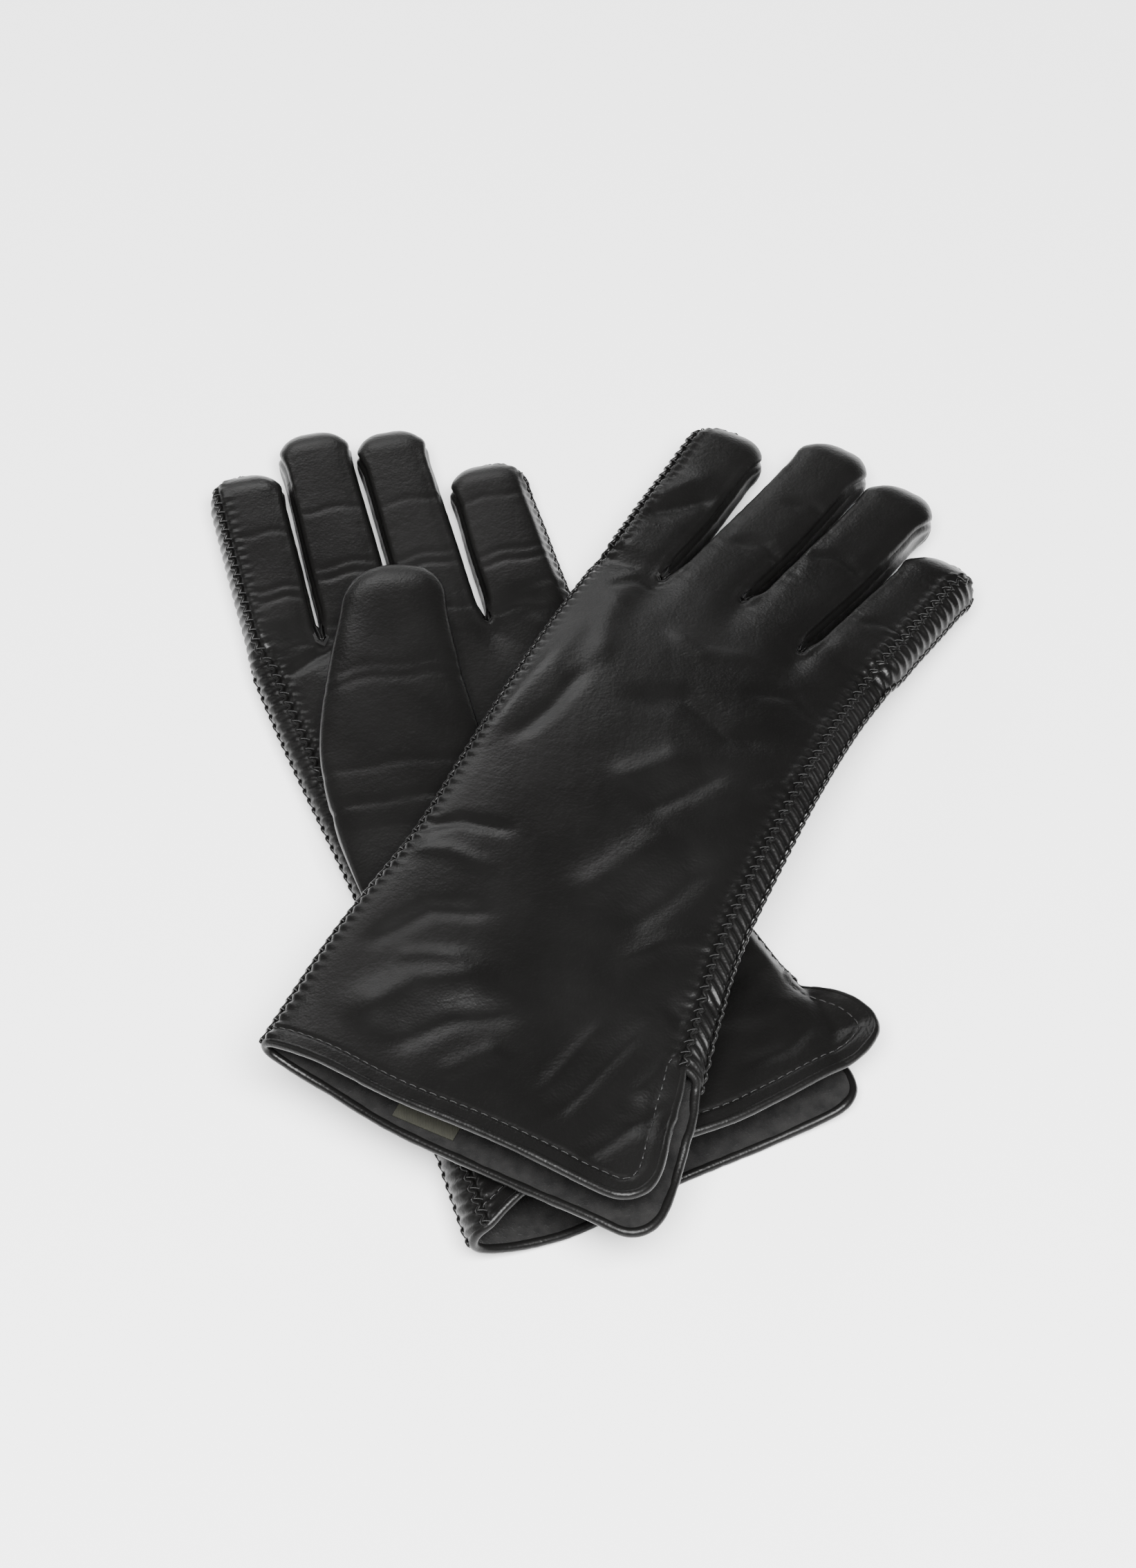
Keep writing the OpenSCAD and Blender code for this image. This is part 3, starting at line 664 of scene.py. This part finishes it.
class Mesh:
    """Points, faces and corner normals of one piece, in a glove's own frame."""

    def __init__(self):
        self.p, self.f, self.n, self.count = [], [], [], 0

    def add(self, p, faces, normals):
        """normals are one for each corner of each face."""
        self.p.append(p)
        self.f.append(faces + self.count)
        self.n.append(normals)
        self.count += len(p)

    def shell(self, outer, inner, quads, n_out, n_in):
        """A sheet with an outer and an inner side, closed round its edge."""
        used, q = np.unique(quads, return_inverse=True)
        q = q.reshape(quads.shape)
        o, i, no, ni = outer[used], inner[used], n_out[used], n_in[used]
        m = len(used)
        edges = np.concatenate([q[:, [k, (k + 1) % 4]] for k in range(4)])
        key = edges[:, 0].astype(np.int64) * m + edges[:, 1]
        back = edges[:, 1].astype(np.int64) * m + edges[:, 0]
        rim = edges[~np.isin(key, back)]
        p = np.concatenate([o, i])
        side = np.stack([rim[:, 1], rim[:, 0], rim[:, 0] + m, rim[:, 1] + m], -1)
        n = unit(face_vectors(p, side))
        self.add(p, np.concatenate([q, q[:, ::-1] + m, side]),
                 np.concatenate([no[q], -ni[q[:, ::-1]], np.repeat(n[:, None], 4, 1)]))

    def tube(self, path, radius, sides, up, closed=False):
        """A round cord along a path. Radius is a number or one for each point."""
        t = tangents(path, closed)
        b = unit(np.cross(t, up))
        u = np.cross(b, t)
        a = np.arange(sides) * 2 * math.pi / sides
        r = np.broadcast_to(np.asarray(radius, float), (len(path),))[:, None, None]
        n = b[:, None] * np.cos(a)[None, :, None] + u[:, None] * np.sin(a)[None, :, None]
        p = path[:, None] + n * r
        rows = len(path) if closed else len(path) - 1
        i = np.arange(rows)[:, None] * sides
        j = (np.arange(rows)[:, None] + 1) % len(path) * sides
        k, k1 = np.arange(sides)[None], (np.arange(sides)[None] + 1) % sides
        q = np.stack([i + k, i + k1, j + k1, j + k], -1).reshape(-1, 4)
        p, n = p.reshape(-1, 3), n.reshape(-1, 3)
        if not closed:
            ends = np.stack([path[0] - t[0] * r[0, 0, 0] * 0.5, path[-1] + t[-1] * r[-1, 0, 0] * 0.5])
            last = (len(path) - 1) * sides
            half = np.arange(0, sides, 2)
            cap0 = np.stack([np.full(len(half), len(p)), (half + 2) % sides, (half + 1) % sides, half], -1)
            cap1 = np.stack([np.full(len(half), len(p) + 1), last + half, last + (half + 1) % sides,
                             last + (half + 2) % sides], -1)
            p = np.concatenate([p, ends])
            n = np.concatenate([n, -t[:1], t[-1:]])
            q = np.concatenate([q, cap0, cap1])
        q = q[:, ::-1]
        self.add(p, q, n[q])

    def build(self, name, g, material, slot):
        p = row_frame(np.concatenate(self.p), g)
        p[:, 2] = np.maximum(p[:, 2], FLOOR_GAP)  # the lower glove lies on the table
        q = np.concatenate(self.f)
        n = turned(np.concatenate(self.n), g)
        if g == LEFT:
            q, n = q[:, ::-1], n[:, ::-1]
        mesh = bpy.data.meshes.new(name)
        mesh.vertices.add(len(p))
        mesh.vertices.foreach_set("co", p.astype(np.float32).reshape(-1))
        mesh.loops.add(len(q) * 4)
        mesh.loops.foreach_set("vertex_index", q.reshape(-1).astype(np.int32))
        mesh.polygons.add(len(q))
        mesh.polygons.foreach_set("loop_start", (np.arange(len(q)) * 4).astype(np.int32))
        mesh.polygons.foreach_set("use_smooth", np.ones(len(q), bool))
        mesh.update(calc_edges=True)
        mesh.normals_split_custom_set(n.reshape(-1, 3).tolist())
        mesh.materials.append(material)
        obj = bpy.data.objects.new(name, mesh)
        bpy.context.scene.collection.objects.link(obj)
        return obj


def fine_strip(s, side):
    """A decorative strip's surface with its slanting ribs, on rows close enough to show them."""
    number, cut = s.strip[side]
    ids = s.grid(number)
    p, n = s.p1[ids], s.n1[ids]
    times = 3
    m = len(ids)
    at = np.linspace(0, m - 1, (m - 1) * times + 1)
    k = np.clip(at.astype(int), 0, m - 2)
    f = (at - k)[:, None, None]
    before, after = np.clip(k - 1, 0, m - 1), np.clip(k + 2, 0, m - 1)

    def through(v):
        """A smooth curve through each column's points."""
        a, b, c, d = v[before], v[k], v[k + 1], v[after]
        return b + 0.5 * f * (c - a + f * (2 * a - 5 * b + 4 * c - d + f * (3 * (b - c) + d - a)))
    p, n = through(p), unit(through(n))
    along = distances(p[:, p.shape[1] // 2])
    width = np.linalg.norm(np.diff(p, axis=1), axis=2).sum(1)
    t = (eased(SIDE_COLS) + 1) / 2
    strength = smoothstep(width / 3)[:, None]
    rib = (0.5 + 0.5 * np.cos(2 * math.pi * (along[:, None] / STITCH_STEP + 0.9 * t[None]))) ** 1.4
    window = smoothstep(t / 0.16) * smoothstep((1 - t) / 0.16)
    lift = (RIB_H * rib * window[None] - 0.35 * (1 - window[None]) + 0.15 * window[None]) * strength
    return p, n, p + n * lift[..., None], along, cut * times


def strip_shell(mesh, base, n, top, rows, flip, thick=LEATHER_T):
    p, nn, o = base[rows], n[rows], top[rows]
    q = grid_quads(*p.shape[:2])
    q = q[:, ::-1] if flip else q
    outer, inner = o.reshape(-1, 3), (p - nn * thick).reshape(-1, 3)
    mesh.shell(outer, inner, q, vertex_normals(outer, q), nn.reshape(-1, 3))


def whip_stitches(mesh, thread, base, n, along, rows, col, inward):
    """Along one edge of a strip: a wavy raised cord and a stitch over it every step."""
    p, nn, a = base[rows, col], n[rows, col], along[rows]
    t = tangents(p)
    lat = unit(np.cross(nn, t))
    to_strip = (base[rows, col + inward * 4] - p)
    lat *= np.sign((lat * to_strip).sum(1))[:, None]
    wave = np.sin(2 * math.pi * a / STITCH_STEP)[:, None]
    line = p + nn * (0.2 + 0.12 * wave) + lat * (0.75 + 0.72 * wave)
    line = resample(line, 0.42)
    at, known = np.linspace(0, 1, len(line)), np.linspace(0, 1, len(nn))
    mesh.tube(line, CORD_R, 8, up=np.stack([np.interp(at, known, nn[:, c]) for c in range(3)], 1))
    for centre in np.arange(a[0] + 0.9, a[-1] - 0.9, STITCH_STEP):
        k = int(np.argmin(np.abs(a - centre)))
        x = np.linspace(-1, 1, 6)[:, None]
        arc = (p[k] + lat[k] * (0.5 + 1.7 * x) + t[k] * 0.9 * x
               + nn[k] * (0.82 * (1 - x * x) ** 0.7 - 0.15))
        thread.tube(arc, THREAD_R, 6, up=np.tile(nn[k], (6, 1)))


def row_point(p, g):
    return tuple(float(x) for x in row_frame(np.asarray(p, float), g))


def settle(obj, g, part, bends):
    """A finger's piece stays fixed where it is, with the ends of its bend worked out but not used, and any
    other rides with the hand.
    """
    if bends:
        i = FINGERS.index(part)
        start, end = (row_point(on_finger(i, g, s, 0.0, 0.0), g) for s in BLEND)
        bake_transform(obj)
    else:
        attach(obj, f"{GLOVES[g]}_hand")


def make_leather(g, s):
    """The panels, fourchettes, strips and finger pieces of one glove."""
    side = GLOVES[g]
    strips = {k: fine_strip(s, k) for k in s.strip}
    inner = s.p1 - s.n1 * LEATHER_T
    names = ["back_panel", "palm_panel", "inner_strip", "outer_strip"]
    names[2:2] = [f"fourchette_{i + 1}" for i in range(3)]
    for f in FINGERS:
        names += [f"{f}_back", f"{f}_palm", f"{f}_sides"]
    for name in names:
        mesh, thread = Mesh(), Mesh()
        part = name.split("_")[0]
        finger = part in FINGERS
        quads = s.q[s.name == name]
        if name.endswith("strip") or name in ("index_sides", "little_sides"):
            k = -1 if name in ("inner_strip", "index_sides") else 1
            base, n, top, along, cut = strips[k]
            rows = slice(0, cut + 1) if name.endswith("strip") else slice(cut, None)
            strip_shell(mesh, base, n, top, rows, flip=k < 0)
            whip_stitches(mesh, thread, base, n, along, rows, 0, 1)
            whip_stitches(mesh, thread, base, n, along, rows, -1, -1)
            # the rest of the piece is the fourchette's own part
            strip_ids = np.unique(s.grid(s.strip[k][0]))
            quads = quads[~np.isin(quads, strip_ids).all(1)]
        if len(quads):
            mesh.shell(s.p2, inner, quads, s.n2, s.n1)
        plain = name.endswith(("panel", "back", "palm"))
        obj = mesh.build(f"{side}_{name}_leather", g, MATERIAL["leather" if plain else "edge"],
                         "leather" if plain else "edge_leather")
        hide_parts(f"{side}_{name}")
        settle(obj, g, part, finger)
        if thread.count:
            obj = thread.build(f"{side}_{name}_stitches", g, MATERIAL["thread"], "thread")
            settle(obj, g, part, finger)


def make_lining(g, s):
    """The fleece inside the hand and each finger."""
    side = GLOVES[g]
    fuzz = noise(s.p1 / 1.3, 31) * 0.12 + noise(s.p1 / 5.0, 32) * 0.2
    outer = s.p1 - s.n1 * LINING_OUT
    inner = s.p1 - s.n1 * (LINING_IN + fuzz)[:, None]
    groups = {"": [n for n in np.unique(s.name) if n.split("_")[0] not in FINGERS]}
    for f in FINGERS:
        groups[f"{f}_"] = [f"{f}_back", f"{f}_palm", f"{f}_sides"]
    for name, owners in groups.items():
        mesh = Mesh()
        quads = s.q[np.isin(s.name, owners)]
        mesh.shell(outer, inner, quads, s.n1, vertex_normals(inner, s.q))
        obj = mesh.build(f"{side}_{name}fleece", g, MATERIAL["lining"], "lining")
        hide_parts(f"{side}_{name}lining")
        settle(obj, g, name[:-1], bool(name))


def make_hem(g, s):
    """The rolled edge round the mouth and slit, and the stitching that holds it."""
    side = GLOVES[g]
    path, n = s.loop[:, :3], s.loop[:, 3:]
    centre = path - n * LINING_IN / 2
    mesh = Mesh()
    radius = HEM_R * 0.93 + 0.1 * noise(centre / [3.0, 3.0, 3.0], 41) + 0.05 * noise(centre / 1.1, 42)
    mesh.tube(centre, radius, 14, n, closed=True)
    obj = mesh.build(f"{side}_rolled_hem", g, MATERIAL["edge"], "edge_leather")
    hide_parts(f"{side}_hem")
    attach(obj, f"{side}_hand")
    # the stitching follows the edge at a constant distance, on the leather
    t = tangents(path, True)
    lat = np.cross(n, t)
    line = min((path + lat * HEM_BAND, path - lat * HEM_BAND), key=lambda way: nearest(s.p2, way)[1].sum())
    for _ in range(3):
        k, _ = nearest(s.p2, line)
        line = line - s.n2[k] * ((line - s.p2[k]) * s.n2[k]).sum(1)[:, None]
        line = line * 0.6 + (np.roll(line, 1, 0) + np.roll(line, -1, 0)) * 0.2
    run = resample(np.concatenate([line, s.n2[k]], 1), 0.35, True)
    mesh = Mesh()
    step, shown = 9, 7
    for a in range(0, len(run) - step, step):
        piece = run[a:a + shown]
        x = np.linspace(-1, 1, shown)[:, None]
        mesh.tube(piece[:, :3] + piece[:, 3:] * (0.16 - 0.3 * np.abs(x) ** 3), THREAD_R, 6, up=piece[:, 3:])
    obj = mesh.build(f"{side}_hem_stitches", g, MATERIAL["thread"], "thread")
    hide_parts(f"{side}_hem_thread")
    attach(obj, f"{side}_hand")


def thumb_middle(s, g):
    """How far across the thumb's middle line lies, at a distance s along it."""
    return THUMB_X[g] + THUMB_LEAN[g] * (s / THUMB_L) ** 1.8


def thumb_grid(g, rows):
    """The thumb's tube, outside its palm. Its root sinks into the palm's leather."""
    s = rows[:, None]
    a = np.linspace(0, 2 * math.pi, THUMB_COLS + 1)[None]
    f = tip_factor(s, THUMB_L, THUMB_ROUND)
    w = curve(s, [(0, 44), (30, 48), (62, 49), (90, 41), (112, 33.5), (130, 32)]) / 2 * f
    h = THUMB_T[g] / 2 * f * np.minimum(1, 0.3 + s / 40)
    w, h = np.maximum(w, 0.05), np.maximum(h, 0.05)
    x = w * np.sign(np.cos(a)) * np.abs(np.cos(a)) ** 0.82
    z = h * np.sign(np.sin(a)) * np.abs(np.sin(a)) ** 0.86
    sunk = 0.9 * smoothstep((26 - s) / 26)
    skew = math.radians(THUMB_SKEW)
    return place(thumb_middle(s, g) + x * math.cos(skew), THUMB_Y + s - x * math.sin(skew),
                 z - BODY_T / 2 - BODY_GAP - THUMB_T[g] / 2 + sunk, g)


def make_thumb(g):
    """The thumb's leather and fleece. The left one is in two parts: its root rides with the hand and its tip
    stays fixed where it is.
    """
    side = GLOVES[g]
    joint = THUMB_L - THUMB_TIP_L
    turn = np.linspace(0, math.pi / 2, 16)
    straight = THUMB_L - THUMB_ROUND
    rows = np.concatenate([np.arange(0, straight, 1.0), straight + THUMB_ROUND * np.sin(turn)])
    s = Surface()
    cut_row = int(np.argmin(np.abs(rows - (joint - 16))))
    split = g == LEFT
    owner = ["thumb" if k < cut_row or not split else "thumb_tip" for k in range(len(rows) - 1)]
    number = s.add(thumb_grid(g, rows), owner, flip=True)
    s.weld()
    n0 = vertex_normals(s.p, s.q)
    p = s.p
    # mostly flat folds, deeper towards the root, and creases where it bends
    lift = noise(p / [10, 20, 8], 51 + g) * 0.4 + noise(p / [4, 11, 5], 53 + g) * 0.14
    along = p[:, 1] - THUMB_Y
    for at, depth in ((joint - 2, 0.2), (joint + 3, 0.15), (34, 0.3), (48, 0.2)):
        bow = along - at + 0.2 * (p[:, 0] + 10) + 0.8 * np.sin(p[:, 0] * 0.3)
        lift -= depth * np.exp(-(bow / 1.8) ** 2)
    if g == RIGHT:
        lift = np.minimum(lift, 0.1)
    lift = np.where(n0[:, 2] > 0.3, np.minimum(lift, 0.0), lift)
    s.p1 = p + n0 * lift[:, None]
    s.n1 = vertex_normals(s.p1, s.q)
    # a seam down each side of the thumb
    ids = s.grid(number)
    quarter = (ids.shape[1] - 1) // 2
    seam = np.concatenate([s.p1[ids[:-6, 0]], s.p1[ids[:-6, quarter]]])
    _, d = nearest(seam, s.p1)
    fine = -0.5 * np.exp(-(d / 0.8) ** 2) + 0.26 * np.exp(-((d - 2.0) / 1.1) ** 2)
    s.p2 = s.p1 + s.n1 * fine[:, None]
    s.n2 = vertex_normals(s.p2, s.q)
    inner = s.p1 - s.n1 * LEATHER_T
    fleece_out, fleece_in = s.p1 - s.n1 * LINING_OUT, s.p1 - s.n1 * LINING_IN
    start = row_point(place(thumb_middle(joint - 14, g), THUMB_Y + joint - 12, -13.0, g), g)
    end = row_point(place(thumb_middle(joint + 14, g), THUMB_Y + joint + 14, -13.0, g), g)
    for name in ("thumb", "thumb_tip") if split else ("thumb",):
        quads = s.q[s.name == name]
        for kind, o, i, no, slot in (("leather", s.p2, inner, s.n2, "leather"),
                                     ("fleece", fleece_out, fleece_in, s.n1, "lining")):
            mesh = Mesh()
            mesh.shell(o, i, quads, no, s.n1)
            obj = mesh.build(f"{side}_{name}_{kind}", g, MATERIAL[slot], slot)
            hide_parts(f"{side}_{name}" + ("" if kind == "leather" else "_lining"))
            if name == "thumb_tip":
                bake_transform(obj)
            else:
                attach(obj, f"{side}_hand")


def make_label(s):
    """The blank cloth label sewn to the fleece inside the right cuff."""
    inner = s.p1 - s.n1 * (LINING_IN + 0.1)
    k = int(np.argmin(np.linalg.norm(inner[:, :2] - LABEL_AT, axis=1) + 100 * (s.n1[:, 2] > 0)))
    rows, cols = 13, 25
    across = inner[k, 0] + np.linspace(-0.5, 0.5, cols) * LABEL_SIZE[0]
    along = inner[k, 1] + np.linspace(-0.5, 0.5, rows) * LABEL_SIZE[1]
    x, y = np.meshgrid(across, along)
    palm = inner[s.grid(s.hand[PALM])].reshape(-1, 3)
    near, _ = nearest(palm, np.stack([x, y, np.full_like(x, inner[k, 2])], -1).reshape(-1, 3))
    z = palm[near, 2].reshape(rows, cols) + 0.5
    for _ in range(4):
        z[1:-1, 1:-1] = (z[:-2, 1:-1] + z[2:, 1:-1] + z[1:-1, :-2] + z[1:-1, 2:]) / 4
    p = np.stack([x, y, z], -1).reshape(-1, 3)
    n = np.tile([0.0, 0, 1], (len(p), 1))
    mesh = Mesh()
    mesh.shell(p + n * LABEL_T / 2, p - n * LABEL_T / 2, grid_quads(rows, cols), n, n)
    obj = mesh.build("right_cloth_label", RIGHT, MATERIAL["label"], "label")
    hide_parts("right_label")
    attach(obj, "right_hand")


# ------------------------ materials
def material(name, color, roughness, **sockets):
    m = bpy.data.materials.new(name)
    m.use_nodes = True
    shader = m.node_tree.nodes["Principled BSDF"]
    shader.inputs["Base Color"].default_value = (*color, 1)
    shader.inputs["Roughness"].default_value = roughness
    for key, value in sockets.items():
        shader.inputs[key.replace("_", " ")].default_value = value
    return m


def node(tree, kind, **values):
    n = tree.nodes.new("ShaderNode" + kind)
    for key, value in values.items():
        if key in n.inputs:
            n.inputs[key].default_value = value
        else:
            setattr(n, key, value)
    return n


def texture(tree, kind, **values):
    """A texture in the object's own space."""
    n = node(tree, "Tex" + kind, **values)
    tree.links.new(node(tree, "TexCoord").outputs["Object"], n.inputs["Vector"])
    return n


def map_range(tree, value, low, high, start=0.0, end=1.0):
    """Goes from low to high as the value goes from start to end. low and high are numbers or colours."""
    if isinstance(low, tuple):
        n = node(tree, "MapRange", data_type="FLOAT_VECTOR")
        sockets, settings = (6, 7, 8, 9, 10), ((start,) * 3, (end,) * 3, low, high)
    else:
        n = node(tree, "MapRange")
        sockets, settings = range(5), (start, end, low, high)
    tree.links.new(value, n.inputs[sockets[0]])
    for socket, setting in zip(sockets[1:], settings):
        n.inputs[socket].default_value = setting
    return n.outputs["Vector" if isinstance(low, tuple) else "Result"]


def finish_shader(tree, color, layers, roughness=None):
    """Links the shader's colour and its layers of bumps: height, strength, distance."""
    link, shader = tree.links.new, tree.nodes["Principled BSDF"]
    link(color, shader.inputs["Base Color"])
    if roughness:
        link(roughness, shader.inputs["Roughness"])
    under = None
    for height, strength, distance in layers:
        bump = node(tree, "Bump", Strength=strength, Distance=distance)
        link(height, bump.inputs["Height"])
        if under:
            link(under.outputs["Normal"], bump.inputs["Normal"])
        under = bump
    link(under.outputs["Normal"], shader.inputs["Normal"])


def leather_material(name, color, roughness, grain):
    """Dyed glove leather: fine pebbled grain, hair creases, and a finish that is unevenly worn."""
    m = material(name, color, roughness, Specular_IOR_Level=0.16)
    tree = m.node_tree
    cells = texture(tree, "Voronoi", Scale=1150.0).outputs["Distance"]
    fine = texture(tree, "Noise", Scale=420.0, Detail=5.0, Roughness=0.6).outputs["Fac"]
    patches = texture(tree, "Noise", Scale=24.0, Detail=4.0, Roughness=0.55).outputs["Fac"]
    # the creases wander a little
    bend = texture(tree, "Noise", Scale=60.0, Detail=2.0)
    moved = node(tree, "VectorMath", operation="MULTIPLY_ADD")
    moved.inputs[1].default_value = (0.012, 0.012, 0.012)
    creases = node(tree, "TexVoronoi", Scale=150.0, feature="DISTANCE_TO_EDGE")
    tree.links.new(bend.outputs["Color"], moved.inputs[0])
    tree.links.new(node(tree, "TexCoord").outputs["Object"], moved.inputs[2])
    tree.links.new(moved.outputs[0], creases.inputs["Vector"])
    edge = map_range(tree, creases.outputs["Distance"], 0.0, 1.0, end=0.09)
    tint = map_range(tree, patches, tuple(c * 0.8 for c in color), tuple(c * 1.25 for c in color))
    layers = (cells, grain, 0.00012), (fine, grain * 0.8, 0.0004), (edge, grain * 0.2, 0.0002)
    finish_shader(tree, tint, layers, map_range(tree, patches, roughness - 0.07, roughness + 0.09, 0.3, 0.7))
    return m


def fleece_material():
    m = material("fleece", (0.020, 0.019, 0.019), 0.95, Sheen_Weight=0.04, Sheen_Roughness=0.5,
                 Specular_IOR_Level=0.2)
    tree = m.node_tree
    pile = texture(tree, "Noise", Scale=1400.0, Detail=4.0).outputs["Fac"]
    tufts = texture(tree, "Noise", Scale=260.0, Detail=3.0).outputs["Fac"]
    tint = map_range(tree, tufts, (0.0030, 0.0030, 0.0030), (0.0095, 0.0092, 0.0090), 0.3, 0.7)
    finish_shader(tree, tint, ((pile, 0.9, 0.0006), (tufts, 0.7, 0.0015)))
    return m


def woven_material(name, low, high, scale, roughness, strength):
    """Thread or ribbon: fine parallel ridges with a little unevenness in the dye."""
    m = material(name, high, roughness)
    tree = m.node_tree
    wave = texture(tree, "Wave", Scale=scale, Distortion=0.6).outputs["Fac"]
    spots = texture(tree, "Noise", Scale=500.0, Detail=2.0).outputs["Fac"]
    finish_shader(tree, map_range(tree, spots, low, high), ((wave, strength, 0.0002),))
    return m


MATERIAL = {
    "leather": leather_material("glove_leather", (0.0032, 0.0031, 0.0030), 0.35, 0.30),
    "edge": leather_material("strip_leather", (0.0034, 0.0033, 0.0032), 0.33, 0.32),
    "lining": fleece_material(),
    "thread": woven_material("thread", (0.004, 0.004, 0.004), (0.010, 0.010, 0.010), 900.0, 0.55, 0.5),
    "label": woven_material("label_ribbon", (0.012, 0.012, 0.008), (0.024, 0.024, 0.016), 700.0, 0.7, 0.6),
}

for glove in (LEFT, RIGHT):
    surface = sculpt(glove, glove_surface(glove))
    make_leather(glove, surface)
    make_lining(glove, surface)
    make_hem(glove, surface)
    make_thumb(glove)
    if glove == RIGHT:
        make_label(surface)

# ------------------------ floor, light and camera
floor_mesh = bpy.data.meshes.new("floor")
floor_mesh.from_pydata([(-6, -6, 0), (6, -6, 0), (6, 6, 0), (-6, 6, 0)], [], [(0, 1, 2, 3)])
floor = bpy.data.objects.new("floor", floor_mesh)
bpy.context.scene.collection.objects.link(floor)
floor_mesh.materials.append(material("floor_white", (0.93, 0.93, 0.93), 0.6, Specular_IOR_Level=0.1))

world = bpy.data.worlds.new("studio")
world.use_nodes = True
sky = world.node_tree.nodes["Background"].inputs
sky["Color"].default_value = (1, 1, 1, 1)
sky["Strength"].default_value = 0.07
bpy.context.scene.world = world


def aimed(name, data, at, target):
    """A light or a camera at a place, turned towards its target."""
    obj = bpy.data.objects.new(name, data)
    obj.location = at
    obj.rotation_euler = (Vector(target) - Vector(at)).to_track_quat("-Z", "Y").to_euler()
    bpy.context.scene.collection.objects.link(obj)
    return obj


for name, at, size, power in (("front_light", (0.1, -1.1, 2.0), (1.6, 0.9), 285),
                              ("back_light", (-0.30, 1.15, 0.62), (0.7, 0.25), 5.5),
                              ("left_light", (-1.3, 0.1, 0.55), (0.4, 0.8), 3)):
    light = bpy.data.lights.new(name, "AREA")
    light.shape = "RECTANGLE"
    light.size, light.size_y = size
    light.energy = power
    aimed(name, light, at, (0, 0, 0))

target = Vector((-0.0061, 0.010, 0.015))
tilt, camera_distance = math.radians(52), 1.250
camera_data = bpy.data.cameras.new("camera")
camera_data.lens = 95
camera_data.sensor_fit = "VERTICAL"
camera_data.sensor_height = 36
camera_at = target + Vector((0, -math.cos(tilt), math.sin(tilt))) * camera_distance
bpy.context.scene.camera = aimed("camera", camera_data, camera_at, target)
